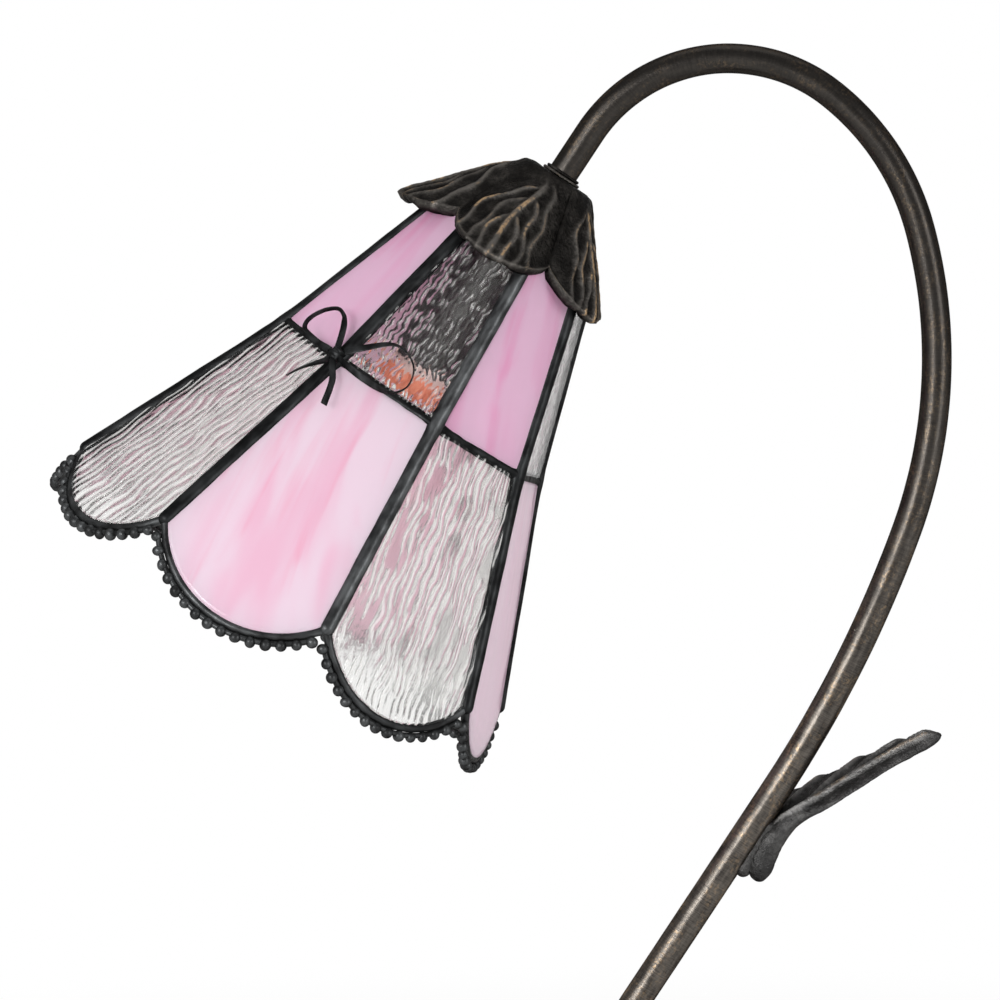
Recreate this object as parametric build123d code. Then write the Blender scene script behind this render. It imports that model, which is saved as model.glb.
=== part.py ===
from build123d import *
import os
from math import acos, asin, atan2, cos, degrees, hypot, radians, sin, tan

# A table lamp: a bent tube rises from a weighted round base, turns over and carries a flower
# shade of glass panes that hangs under a cap of cast leaves. Sizes are in millimetres and degrees.
# The origin is the centre of the underside, +Z is up and the shade hangs towards -X.

# Fits between pieces
SLIP = 0.05
LOOSE = 0.3

# Stem, from the foot up
TUBE_D = 10.0
TUBE_WALL = 1.0
TUBE_BELOW_NECK = 13.0
FOOT_STRAIGHT = 9.0
FOOT_BEND_R = 60.0
STEM_LEAN = 33.5
LOWER_RUN = 86.0
BACK_R = 410.0
BACK_TURN = 13.5
SIDE_R = 168.0
SIDE_TURN = 35.0
SHOULDER_R = 85.0
SHOULDER_TURN = 36.5
CROWN_R = 55.4
CROWN_TURN = 95.0
HEAD_RUN = 18.0

# Nuts, washers and collars on the tube
NUT_WALL = 2.0
NUT_H = 3.5
WASHER_T = 0.8
WASHER_RIM = 3.2
NECK_COLLAR_RIM = 2.0
NECK_COLLAR_LIP = 0.8
NECK_COLLAR_H = 2.2
FOOT_COLLAR_RIM = 4.0
FOOT_COLLAR_H = 3.5
FOOT_COLLAR_ROUND = 1.2

# Base
BASE_R = 80.0
FELT_T = 1.5
FELT_INSET = 1.0
PLATE_T = 1.5
PLATE_GAP = 0.2
SHELL_WALL = 3.0
EDGE_H = 4.5
EDGE_STEP = 3.0
EDGE_STEP_H = 1.5
DOME_RISE = 18.0
DOME_TOP_R = 30.0
DOME_BULGE = 4.5
NECK_RISE = 7.5
NECK_R = 13.0
NECK_HOLLOW = 2.0
WEIGHT_T = 6.0
WEIGHT_RIM = 11.0
WEIGHT_HOLE_R = 24.0
PLATE_SCREWS = 3
SCREW_PCD_R = 46.0
SCREW_TURN = 60.0
SCREW_R = 2.0
SCREW_HEAD_R = 4.0
SCREW_HEAD_H = 2.0
SCREW_GRIP = 5.0
SCREW_BOSS_R = 5.0

# Cord inlet at the back of the base
CORD_HOLE_R = 3.3
BUSHING_WALL = 1.6
BUSHING_FLANGE_R = 6.5
BUSHING_FLANGE_T = 2.0
CORD_BOSS_R = 8.0
CORD_BOSS_L = 9.0
CORD_BOSS_INSET = 2.5
CORD_DRILL = 28.0
CORD_RISE = 5.5

# Rotary switch on the front of the base
SWITCH_AT = 42.0
SWITCH_BOSS_R = 12.0
SWITCH_BOSS_T = 5.0
SWITCH_BOSS_DROP = 2.0
SWITCH_FACE_RIM = 1.0
SWITCH_BODY_R = 10.0
SWITCH_BODY_H = 8.5
SWITCH_FLOOR = 1.0
BUSH_R = 5.0
BUSH_NUT_RIM = 2.5
BUSH_NUT_H = 2.5
SPINDLE_R = 2.0
KNOB_R = 10.0
KNOB_H = 11.5
KNOB_ROOF = 3.0
KNOB_ROUND = 1.5
KNOB_FLUTES = 16
FLUTE_R = 1.1
RUN_GAP = 0.4

# Supply lead inside the tube
LEAD_R = 2.2
LEAD_BEND_R = 8.0

# Shade, measured along its axis from the seat of the leaf cap
PANELS = 8
SHADE_TURN = 8.2
GLASS_T = 3.0
TOP_S = 26.0
TOP_R = 28.7
WAIST_S = 89.5
WAIST_R = 50.2
RIM_S = 160.3
RIM_R = 82.5
PETAL_DROP = 17.7
CAME_HEART = 1.6
RIB_R = 2.5
WAIST_CAME_R = 1.9
CROWN_CAME_R = 1.9
RIM_CAME_R = 1.65
BALL_R = 1.8
BALL_SINK = 0.5
BALL_PITCH = 5.6

# Vase cap that the glass hangs from
VASE_WALL = 1.2
VASE_TOP_R = 10.5
VASE_NECK_R = 22.5
VASE_RIM = 2.0
VASE_SEAT = 0.4

# Leaf cap
CALYX_LEAVES = 5
CALYX_WALL = 2.4
CALYX_CROWN_R = 11.0
CALYX_TIP_R = 40.3
CALYX_NOTCH_R = 35.5
CALYX_DEPTH = 33.0
CALYX_BULGE = 2.5

# Lamp holder
HOLDER_S = 20.0
HOLDER_NECK_R = 8.0
HOLDER_NECK_H = 7.0
HOLDER_R = 17.0
HOLDER_CAP_H = 22.0
HOLDER_SHOULDER_H = 7.0
HOLDER_WALL = 1.4
HOLDER_BODY_L = 36.0
LINER_T = 1.0
LINER_GAP = 0.2
LINER_LIP = 10.0
CORE_SET = 8.0
CORE_T = 6.0
CORE_FLOOR = 1.0
CORE_RIM_H = 5.0
CORE_RIM_T = 2.0
THREAD_R = 13.2
THREAD_WALL = 0.7
THREAD_L = 25.0
CONTACT_R = 3.5
CONTACT_T = 1.2
CONTACT_PIN_R = 1.6
CONTACT_TRAVEL = 1.5
TERMINAL_R = 2.8
TERMINAL_H = 2.2
TERMINAL_PIN_R = 1.2
TERMINAL_AT = 8.0

# Stem leaf, in the plane of the stem: along it from the foot bend, and away from it
STALK_R = 3.2
STALK_FOOT = 59.0
STALK_FOOT_AWAY = 11.3
STALK_TOUCH = 69.5
STALK_END = 82.0
STALK_END_AWAY = 11.0
LEAF_L = 60.0
LEAF_W = 28.0
LEAF_T = 2.6
LEAF_TURN = 25.5
LEAF_ROLL = 15.0
LEAF_LAP = 6.0
WELD_R = 2.4
WELD_AT = 62.0

# Bow of flat ribbon, tied where a rib crosses the waist
RIBBON_W = 2.4
RIBBON_T = 0.5
KNOT_W = 4.4
KNOT_H = 3.8
KNOT_ROUND = 1.0
LEFT_LOOP_REACH = 12.5
LEFT_LOOP_R = 5.6
LEFT_LOOP_TURN = 135.0
RIGHT_LOOP_REACH = 17.5
RIGHT_LOOP_R = 8.2
RIGHT_LOOP_TURN = 21.0
LEFT_TAIL_L = 15.5
LEFT_TAIL_TURN = 244.0
RIGHT_TAIL_L = 18.0
RIGHT_TAIL_TURN = 302.0
TAIL_BOW = 1.4

# Heights in the base, from the floor up
PLATE_TOP = FELT_T + PLATE_T
WEIGHT_TOP = PLATE_TOP + WEIGHT_T
DOME_FOOT_R = BASE_R - EDGE_STEP
DOME_FOOT_Z = FELT_T + EDGE_H + EDGE_STEP_H
DOME_TOP_Z = DOME_FOOT_Z + DOME_RISE
NECK_TOP = DOME_TOP_Z + NECK_RISE
NECK_ROOF = NECK_TOP - SHELL_WALL
TUBE_FOOT = NECK_TOP - TUBE_BELOW_NECK
FOOT_BEND_Z = NECK_TOP + FOOT_COLLAR_H + FOOT_STRAIGHT
PLATE_R = BASE_R - SHELL_WALL - PLATE_GAP
WEIGHT_R = BASE_R - SHELL_WALL - WEIGHT_RIM
CORD_Z = WEIGHT_TOP + CORD_RISE
CORD_FACE = BASE_R - CORD_BOSS_INSET
BUSHING_R = CORD_HOLE_R + BUSHING_WALL
BOSS_TOP = DOME_TOP_Z - SWITCH_BOSS_DROP
BODY_TOP = BOSS_TOP - SWITCH_BOSS_T
BODY_FOOT = BODY_TOP - SWITCH_BODY_H
BUSH_TOP = BOSS_TOP + BUSH_NUT_H
KNOB_FOOT = BUSH_TOP + RUN_GAP
SPINDLE_TOP = KNOB_FOOT + KNOB_H - KNOB_ROOF
SPINDLE_FOOT = BODY_FOOT + SWITCH_FLOOR + RUN_GAP
LEAD_Z = (BODY_FOOT + BODY_TOP) / 2

# Radii round the tube
TUBE_R = TUBE_D / 2
TUBE_HOLE_R = TUBE_R + SLIP
WASHER_R = TUBE_R + WASHER_RIM
NUT_ACROSS = TUBE_D + 2 * NUT_WALL

# Places along the axis of the shade, from the seat of the leaf cap
VASE_S = CALYX_WALL
WASHER_S = VASE_S + VASE_WALL
HEAD_NUT_S = WASHER_S + WASHER_T
VASE_FOOT_S = TOP_S - CROWN_CAME_R + VASE_SEAT
VASE_R = TOP_R + VASE_RIM
TUBE_HEAD_S = HOLDER_S + HOLDER_NECK_H
HOLDER_BODY_S = HOLDER_S + HOLDER_CAP_H
HOLDER_END_S = HOLDER_BODY_S + HOLDER_BODY_L
LINER_R = HOLDER_R - HOLDER_WALL - LINER_GAP
LINER_END_S = HOLDER_END_S + LINER_LIP
CORE_S = HOLDER_BODY_S + CORE_SET
CORE_FACE_S = CORE_S + CORE_T
CORE_R = LINER_R - LINER_T - LINER_GAP
THREAD_S = CORE_FACE_S + CORE_RIM_H
CONTACT_S = CORE_FACE_S + RUN_GAP + CONTACT_TRAVEL

STEP = 360.0 / PANELS
HALF = radians(STEP / 2)
FROM_BASE = (Align.CENTER, Align.CENTER, Align.MIN)


def stem_edges():
    """The stem's centreline in its own plane, from the tube's lower end to its upper end."""
    bends = (
        (BACK_R, BACK_TURN),
        (SIDE_R, SIDE_TURN),
        (SHOULDER_R, SHOULDER_TURN),
        (CROWN_R, CROWN_TURN),
    )
    edges = [Line((0, TUBE_FOOT), (0, FOOT_BEND_Z))]
    edges.append(JernArc(edges[-1] @ 1, edges[-1] % 1, FOOT_BEND_R, -STEM_LEAN))
    run_start = edges[-1] @ 1
    run_heading = edges[-1] % 1
    edges.append(Line(run_start, run_start + run_heading * LOWER_RUN))
    for radius, turn in bends:
        edges.append(JernArc(edges[-1] @ 1, edges[-1] % 1, radius, turn))
    seat = edges[-1] @ 1 + (edges[-1] % 1) * HEAD_RUN
    edges.append(Line(edges[-1] @ 1, seat + (edges[-1] % 1) * TUBE_HEAD_S))
    edges = [Plane.XZ * edge for edge in edges]
    return edges, Plane.XZ.from_local_coords(seat), edges[2] @ 0, edges[2] % 0


STEM_EDGES, HEAD, RUN_START, RUN_HEADING = stem_edges()
HEAD_AXIS = STEM_EDGES[-1] % 1
HEAD_PLACE = Plane(HEAD, x_dir=(0, -1, 0), z_dir=HEAD_AXIS).location
SHADE_PLACE = HEAD_PLACE * Rot(0, 0, SHADE_TURN)


def save(node, *shapes):
    solids = [solid for shape in shapes for solid in shape.solids()]
    shape = solids[0] if len(solids) == 1 else Compound(solids)
    export_step(shape, f"parts/{node}.step")


def rod(start, end, radius):
    axis = Vector(end) - Vector(start)
    return Plane(start, z_dir=axis) * Cylinder(radius, axis.length, align=FROM_BASE)


def disc(radius, low, high):
    return Pos(0, 0, low) * Cylinder(radius, high - low, align=FROM_BASE)


def ring(radius, hole_radius, low, high):
    return disc(radius, low, high) - disc(hole_radius, low, high)


def turned(*outline):
    """A closed outline of radius and height, turned about Z."""
    return revolve(Plane.XZ * make_face(list(outline)), Axis.Z)


def hex_nut(low):
    outline = RegularPolygon(NUT_ACROSS / 2, 6, major_radius=False) - Circle(TUBE_HOLE_R)
    return Pos(0, 0, low) * extrude(outline, NUT_H)


def around(count, radius, turn=0.0):
    return [Rot(0, 0, turn + 360.0 / count * i) * Pos(radius, 0, 0) for i in range(count)]


# Stem
def tube_rod(edges, radius):
    path = Wire(edges)
    return sweep(Plane(path @ 0, z_dir=path % 0) * Circle(radius), path=path)


def stem_tube(stem_rod):
    return stem_rod - tube_rod(STEM_EDGES, TUBE_R - TUBE_WALL)


def supply_lead():
    """From the switch under the base, up through the tube, to the back of the lamp holder's core."""
    level = Line((SWITCH_BODY_R - SWITCH_AT, LEAD_Z), (-LEAD_BEND_R, LEAD_Z))
    bend = JernArc(level @ 1, level % 1, LEAD_BEND_R, 90)
    level, bend = Plane.YZ * level, Plane.YZ * bend
    rise = Line(bend @ 1, STEM_EDGES[0] @ 1)
    head = Line(STEM_EDGES[-1] @ 0, HEAD + HEAD_AXIS * CORE_S)
    return tube_rod([level, bend, rise, *STEM_EDGES[1:-1], head], LEAD_R)


def stem_leaf(stem_rod):
    """A cast leaf on a curled stalk, brazed to the outer side of the stem."""
    place = Plane(RUN_START, x_dir=RUN_HEADING, z_dir=(0, 1, 0)).location
    foot = (STALK_FOOT, STALK_FOOT_AWAY)
    end = (STALK_END, STALK_END_AWAY)
    curl = ThreePointArc(foot, (STALK_TOUCH, TUBE_R + STALK_R), end)
    stalk = sweep(Plane(curl @ 0, z_dir=curl % 0) * Circle(STALK_R), path=curl)
    stalk += [Pos(*foot) * Sphere(STALK_R), Pos(*end) * Sphere(STALK_R)]
    stalk += rod((WELD_AT, 0, 0), (WELD_AT, STALK_FOOT_AWAY, 0), WELD_R)
    turn, roll = radians(LEAF_TURN), radians(LEAF_ROLL)
    along = Vector(cos(turn), sin(turn), 0)
    upper = Vector(sin(turn) * cos(roll), -cos(turn) * cos(roll), -sin(roll))
    blade_plane = Plane(Vector(*end) - along * LEAF_LAP, x_dir=along, z_dir=upper)
    tip = (LEAF_L, 0)
    near_edge = ThreePointArc((0, 0), (LEAF_L / 2, LEAF_W / 2), tip)
    far_edge = ThreePointArc((0, 0), (LEAF_L / 2, -LEAF_W / 2), tip)
    blade = blade_plane * extrude(make_face([near_edge, far_edge]), LEAF_T / 2, both=True)
    return place * (stalk + blade) - stem_rod


# Base
def shell_outline(drop):
    """The base's outer outline, closed across its axis and `drop` below the floor."""
    return make_face([
        Polyline((-drop, NECK_TOP), (-drop, -drop), (BASE_R, -drop), (BASE_R, FELT_T + EDGE_H),
                 (DOME_FOOT_R, DOME_FOOT_Z)),
        SagittaArc((DOME_FOOT_R, DOME_FOOT_Z), (DOME_TOP_R, DOME_TOP_Z), -DOME_BULGE),
        SagittaArc((DOME_TOP_R, DOME_TOP_Z), (NECK_R, NECK_TOP), NECK_HOLLOW),
        Line((NECK_R, NECK_TOP), (-drop, NECK_TOP)),
    ])


def turned_above_felt(outline):
    half = Pos(BASE_R / 2, FELT_T + NECK_TOP / 2) * Rectangle(BASE_R, NECK_TOP)
    return revolve(Plane.XZ * (outline & half), Axis.Z)


def switch_axis():
    return Pos(0, -SWITCH_AT, 0)


def cord_boss(radius, inner, outer):
    return rod((0, inner, CORD_Z), (0, outer, CORD_Z), radius)


def screw_places():
    return around(PLATE_SCREWS, SCREW_PCD_R, SCREW_TURN)


def base_shell():
    spare = 2 * SHELL_WALL
    outside = turned_above_felt(shell_outline(spare))
    hollow = turned_above_felt(offset(shell_outline(spare), -SHELL_WALL, kind=Kind.INTERSECTION))
    switch_boss = switch_axis() * disc(SWITCH_BOSS_R, BODY_TOP, BOSS_TOP)
    cord_wall = cord_boss(CORD_BOSS_R, CORD_FACE - CORD_BOSS_L, CORD_FACE)
    screw_bosses = [place * disc(SCREW_BOSS_R, WEIGHT_TOP, NECK_TOP) for place in screw_places()]
    hollow = hollow - switch_boss - cord_wall - screw_bosses
    shell = outside + switch_boss + cord_wall - hollow
    shell -= switch_axis() * disc(SWITCH_BOSS_R + SWITCH_FACE_RIM, BOSS_TOP, NECK_TOP)
    shell -= switch_axis() * disc(SWITCH_BODY_R + LOOSE, BODY_FOOT, BODY_TOP)
    shell -= switch_axis() * disc(BUSH_R + SLIP, BODY_TOP, BOSS_TOP)
    shell -= cord_boss(BUSHING_R + SLIP, CORD_FACE - CORD_DRILL, CORD_FACE)
    shell -= disc(TUBE_HOLE_R, NECK_ROOF, NECK_TOP)
    shell -= [place * disc(SCREW_R + SLIP, WEIGHT_TOP, WEIGHT_TOP + SCREW_GRIP) for place in screw_places()]
    return shell


def felt_pad():
    return disc(BASE_R - FELT_INSET, 0, FELT_T)


def plate_screw():
    head = Pos(0, 0, FELT_T) * Cone(SCREW_HEAD_R, SCREW_R, SCREW_HEAD_H, align=FROM_BASE)
    return head + disc(SCREW_R, FELT_T, WEIGHT_TOP + SCREW_GRIP)


def screw_hole():
    sink = Pos(0, 0, FELT_T) * Cone(SCREW_HEAD_R + SLIP, SCREW_R + SLIP, SCREW_HEAD_H, align=FROM_BASE)
    return sink + disc(SCREW_R + SLIP, FELT_T, WEIGHT_TOP)


def base_plate():
    return disc(PLATE_R, FELT_T, PLATE_TOP) - [place * screw_hole() for place in screw_places()]


def base_weight():
    """A thick ring, open at the front where the switch and its lead pass."""
    slot_half = SWITCH_BODY_R + RUN_GAP
    slot = Box(2 * slot_half, BASE_R, WEIGHT_T, align=(Align.CENTER, Align.MAX, Align.MIN))
    weight = ring(WEIGHT_R, WEIGHT_HOLE_R, PLATE_TOP, WEIGHT_TOP) - Pos(0, 0, PLATE_TOP) * slot
    return weight - [place * screw_hole() for place in screw_places()]


def foot_collar():
    collar = ring(TUBE_R + FOOT_COLLAR_RIM, TUBE_HOLE_R, NECK_TOP, NECK_TOP + FOOT_COLLAR_H)
    outer_edge = collar.edges().group_by(Axis.Z)[-1].sort_by(SortBy.LENGTH)[-1]
    return fillet(outer_edge, FOOT_COLLAR_ROUND)


def cord_bushing():
    inner = CORD_FACE - CORD_BOSS_L
    outer = CORD_FACE + BUSHING_FLANGE_T
    body = cord_boss(BUSHING_R, inner, outer) + cord_boss(BUSHING_FLANGE_R, CORD_FACE, outer)
    return body - cord_boss(CORD_HOLE_R, inner, outer)


# Rotary switch
def switch_body():
    body = disc(SWITCH_BODY_R, BODY_FOOT, BODY_TOP) + disc(BUSH_R, BODY_TOP, BUSH_TOP)
    return switch_axis() * (body - disc(SPINDLE_R + SLIP, BODY_FOOT + SWITCH_FLOOR, BUSH_TOP))


def switch_nut():
    return switch_axis() * ring(BUSH_R + BUSH_NUT_RIM, BUSH_R + SLIP, BOSS_TOP, BUSH_TOP)


def switch_spindle():
    return switch_axis() * disc(SPINDLE_R, SPINDLE_FOOT, SPINDLE_TOP)


def switch_knob():
    knob = disc(KNOB_R, KNOB_FOOT, KNOB_FOOT + KNOB_H)
    knob = fillet(knob.edges().group_by(Axis.Z)[-1], KNOB_ROUND)
    flute = disc(FLUTE_R, KNOB_FOOT, KNOB_FOOT + KNOB_H)
    knob -= [place * flute for place in around(KNOB_FLUTES, KNOB_R)]
    knob -= disc(SPINDLE_R, KNOB_FOOT, SPINDLE_TOP)
    return switch_axis() * knob


# Head of the stem
def neck_collar():
    step = NECK_COLLAR_H / 2
    lower = ring(TUBE_R + NECK_COLLAR_RIM, TUBE_HOLE_R, -step, 0)
    upper = ring(TUBE_R + NECK_COLLAR_RIM - NECK_COLLAR_LIP, TUBE_HOLE_R, -NECK_COLLAR_H, -step)
    return lower + upper


def calyx_cap():
    """A bell of revolution, trimmed to a ring of broad leaves."""
    edge = SagittaArc((CALYX_CROWN_R, 0), (CALYX_TIP_R, CALYX_DEPTH), -CALYX_BULGE)
    under = Pos(0, CALYX_WALL) * edge
    bell = turned(
        Line((TUBE_HOLE_R, 0), edge @ 0), edge, Line(edge @ 1, under @ 1), under,
        Polyline(under @ 0, (TUBE_HOLE_R, CALYX_WALL), (TUBE_HOLE_R, 0)),
    )
    half = radians(180.0 / CALYX_LEAVES)
    notch_x, notch_y = CALYX_NOTCH_R * cos(half), CALYX_NOTCH_R * sin(half)
    lobe = ThreePointArc((notch_x, -notch_y), (CALYX_TIP_R, 0), (notch_x, notch_y))
    lobes = make_face([place * lobe for place in around(CALYX_LEAVES, 0)])
    return bell & extrude(lobes, CALYX_DEPTH + CALYX_WALL)


def vase_cap():
    """A spun cap whose brim carries the upper edge of the glass."""
    brim_top = VASE_FOOT_S - VASE_WALL
    return turned(
        Polyline((TUBE_HOLE_R, VASE_S), (VASE_TOP_R, VASE_S), (VASE_NECK_R, brim_top), (VASE_R, brim_top),
                 (VASE_R, VASE_FOOT_S), (VASE_NECK_R - VASE_WALL, VASE_FOOT_S),
                 (VASE_TOP_R - VASE_WALL, WASHER_S), (TUBE_HOLE_R, WASHER_S), (TUBE_HOLE_R, VASE_S)),
    )


# Shade, built for the panel on its local X axis
def shade_point(radius, place, side):
    return Vector(radius * cos(HALF), side * radius * sin(HALF), place)


def panel_plane(top, low):
    """The plane of a panel, with Y up the panel and its origin at the middle of the upper edge."""
    (top_r, top_s), (low_r, low_s) = top, low
    rise = Vector((top_r - low_r) * cos(HALF), 0, top_s - low_s)
    across = Vector(0, -1, 0)
    return Plane((top_r * cos(HALF), 0, top_s), x_dir=across, z_dir=across.cross(rise)), rise.length


TOP = (TOP_R, TOP_S)
WAIST = (WAIST_R, WAIST_S)
RIM = (RIM_R, RIM_S)
PETAL_HALF = RIM_R * sin(HALF)
PETAL_R = (PETAL_HALF**2 + PETAL_DROP**2) / (2 * PETAL_DROP)


def petal_edge(slant):
    return ThreePointArc((-PETAL_HALF, -slant), (0, -slant - PETAL_DROP), (PETAL_HALF, -slant))


def glass(outline, plane):
    return plane * extrude(offset(make_face(outline), -CAME_HEART / 2), GLASS_T / 2, both=True)


def upper_pane():
    plane, slant = panel_plane(TOP, WAIST)
    top_half, low_half = TOP_R * sin(HALF), WAIST_R * sin(HALF)
    corners = ((-top_half, 0), (top_half, 0), (low_half, -slant), (-low_half, -slant))
    return glass([Polyline(*corners, close=True)], plane)


def lower_pane():
    plane, slant = panel_plane(WAIST, RIM)
    top_half = WAIST_R * sin(HALF)
    sides = Polyline((PETAL_HALF, -slant), (top_half, 0), (-top_half, 0), (-PETAL_HALF, -slant))
    return glass([petal_edge(slant), sides], plane)


def neighbours(shape):
    return [Rot(0, 0, turn) * shape for turn in (0, STEP)]


def rib_came(upper, lower, vase):
    """The bent bar between the panel on X and the next one."""
    top, waist, rim = (shade_point(*level, 1) for level in (TOP, WAIST, RIM))
    bar = rod(top, waist, RIB_R) + rod(waist, rim, RIB_R)
    bar += [Pos(waist) * Sphere(RIB_R), Pos(rim) * Sphere(RIB_R)]
    return bar - neighbours(upper) - neighbours(lower) - vase


def sector():
    """The wedge between the middles of the two ribs beside a panel, clear of the next wedge."""
    reach = RIM_S + RIM_R
    apex = LOOSE / 2 / sin(HALF)
    wide = (reach - apex) * tan(HALF)
    return extrude(make_face(Polyline((apex, 0), (reach, -wide), (reach, wide), close=True)), reach)


def cross_came(level, radius, cuts):
    bar = rod(shade_point(*level, -1), shade_point(*level, 1), radius)
    return (bar & sector()) - cuts


def row_reach(row_r, slant):
    """How far to each side of the petal's tip its row of balls runs, in degrees, clear of the next row."""
    widening = (RIM_R - WAIST_R) * cos(HALF) / slant
    middle = (WAIST_R * cos(HALF) + widening * (slant + PETAL_DROP - PETAL_R)) * sin(HALF)
    along, across = widening * row_r * sin(HALF), row_r * cos(HALF)
    room = middle - BALL_R - LOOSE / 2
    return degrees(atan2(along, across) + asin(room / hypot(along, across)))


def rim_edging(lower, ribs):
    """The bar round one petal, with a row of balls along it."""
    plane, slant = panel_plane(WAIST, RIM)
    edge = petal_edge(slant)
    strip = sweep(Plane(edge @ 0, z_dir=edge % 0) * Circle(RIM_CAME_R), path=edge)
    strip = (plane * strip & sector()) - lower - ribs
    row_r = PETAL_R + RIM_CAME_R + BALL_R - BALL_SINK
    reach = row_reach(row_r, slant)
    gaps = round(2 * radians(reach) * row_r / BALL_PITCH)
    row = plane * Pos(0, PETAL_R - PETAL_DROP - slant)
    turns = [2 * reach * i / gaps - reach - 90 for i in range(gaps + 1)]
    return strip + [row * Rot(0, 0, turn) * Pos(row_r, 0) * Sphere(BALL_R) for turn in turns]


# Lamp holder
def holder_cap():
    inner_r = HOLDER_R - HOLDER_WALL
    shoulder = HOLDER_S + HOLDER_NECK_H
    skirt = shoulder + HOLDER_SHOULDER_H
    return turned(
        Polyline((TUBE_HOLE_R, HOLDER_S), (HOLDER_NECK_R, HOLDER_S), (HOLDER_NECK_R, shoulder - HOLDER_WALL),
                 (HOLDER_R, skirt - HOLDER_WALL), (HOLDER_R, HOLDER_BODY_S), (inner_r, HOLDER_BODY_S),
                 (inner_r, skirt), (HOLDER_NECK_R - HOLDER_WALL, shoulder), (TUBE_HOLE_R, shoulder),
                 (TUBE_HOLE_R, HOLDER_S)),
    )


def holder_core():
    """The insulator: a disc with a rim that the thread shell stands on."""
    core = disc(CORE_R, CORE_S, THREAD_S) - disc(CORE_R - CORE_RIM_T, CORE_FACE_S, THREAD_S)
    core -= disc(CONTACT_PIN_R + SLIP, CORE_S + CORE_FLOOR, CORE_FACE_S)
    return core - [place * disc(TERMINAL_PIN_R + SLIP, CORE_S, CORE_FACE_S) for place in terminal_places()]


def centre_contact():
    pin = disc(CONTACT_PIN_R, CORE_S + CORE_FLOOR + RUN_GAP + CONTACT_TRAVEL, CONTACT_S)
    return pin + disc(CONTACT_R, CONTACT_S, CONTACT_S + CONTACT_T)


def terminal_places():
    return around(2, TERMINAL_AT)


def terminal_screw():
    return disc(TERMINAL_R, CORE_S - TERMINAL_H, CORE_S) + disc(TERMINAL_PIN_R, CORE_S, CORE_FACE_S)


# Bow
def ribbon_loop(reach, radius, turn):
    lean = acos(radius / reach)
    side = radius * sin(lean)
    start = reach - radius * cos(lean)
    outline = make_face([
        Polyline((start, side), (0, 0), (start, -side)),
        ThreePointArc((start, -side), (reach + radius, 0), (start, side)),
    ])
    return Rot(0, 0, turn) * extrude(outline - offset(outline, -RIBBON_T), RIBBON_W)


def ribbon_tail(length, turn):
    spine = ThreePointArc((0, 0), (length / 2, TAIL_BOW), (length, 0))
    return Rot(0, 0, turn) * extrude(trace(spine, RIBBON_T), RIBBON_W)


def bow(came_at_knot):
    """Knot, loops and tails on the crest of the rib beside the front panel, at the waist."""
    rise = (WAIST_R - TOP_R) / hypot(WAIST_R - TOP_R, WAIST_S - TOP_S)
    drop = (RIM_R - WAIST_R) / hypot(RIM_R - WAIST_R, RIM_S - WAIST_S)
    lean = asin((rise + drop) / 2)
    outward = Vector(cos(lean) * cos(HALF), cos(lean) * sin(HALF), -sin(lean))
    across = Vector(sin(HALF), -cos(HALF), 0)
    place = Plane(shade_point(*WAIST, 1) + outward * (RIB_R + LOOSE), x_dir=across, z_dir=outward).location
    block = Pos(0, 0, RIBBON_W + RIBBON_T - KNOT_H) * Box(KNOT_W, KNOT_W, KNOT_H, align=FROM_BASE)
    block = fillet(block.edges(), KNOT_ROUND)
    loops = [
        ribbon_loop(LEFT_LOOP_REACH, LEFT_LOOP_R, LEFT_LOOP_TURN) - block,
        ribbon_loop(RIGHT_LOOP_REACH, RIGHT_LOOP_R, RIGHT_LOOP_TURN) - block,
    ]
    tails = [
        ribbon_tail(LEFT_TAIL_L, LEFT_TAIL_TURN) - block,
        ribbon_tail(RIGHT_TAIL_L, RIGHT_TAIL_TURN) - block,
    ]
    knot = place * block - came_at_knot
    return knot, [place * loop for loop in loops], [place * tail for tail in tails]


def write_base():
    save("felt_pad", felt_pad())
    save("base_plate", base_plate())
    save("base_weight", base_weight())
    save("base_shell", base_shell())
    save("plate_screws", *[place * plate_screw() for place in screw_places()])
    save("cord_bushing", cord_bushing())
    save("foot_collar", foot_collar())
    save("foot_washer", ring(WASHER_R, TUBE_HOLE_R, NECK_ROOF - WASHER_T, NECK_ROOF))
    save("foot_nut", hex_nut(NECK_ROOF - WASHER_T - NUT_H))
    save("switch_body", switch_body())
    save("switch_nut", switch_nut())
    save("switch_spindle", switch_spindle())
    save("switch_knob", switch_knob())


def write_stem():
    stem_rod = tube_rod(STEM_EDGES, TUBE_R)
    save("stem_tube", stem_tube(stem_rod))
    save("stem_leaf", stem_leaf(stem_rod))
    save("supply_lead", supply_lead())


def write_head():
    head_pieces = {
        "neck_collar": neck_collar(),
        "head_washer": ring(WASHER_R, TUBE_HOLE_R, WASHER_S, HEAD_NUT_S),
        "head_nut": hex_nut(HEAD_NUT_S),
        "holder_cap": holder_cap(),
        "holder_body": ring(HOLDER_R, HOLDER_R - HOLDER_WALL, HOLDER_BODY_S, HOLDER_END_S),
        "holder_liner": ring(LINER_R, LINER_R - LINER_T, HOLDER_BODY_S, LINER_END_S),
        "holder_core": holder_core(),
        "thread_shell": ring(THREAD_R + THREAD_WALL, THREAD_R, THREAD_S, THREAD_S + THREAD_L),
        "centre_contact": centre_contact(),
    }
    for node, shape in head_pieces.items():
        save(node, HEAD_PLACE * shape)
    save("terminal_screws", *[HEAD_PLACE * place * terminal_screw() for place in terminal_places()])
    save("calyx_cap", SHADE_PLACE * calyx_cap())


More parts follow.
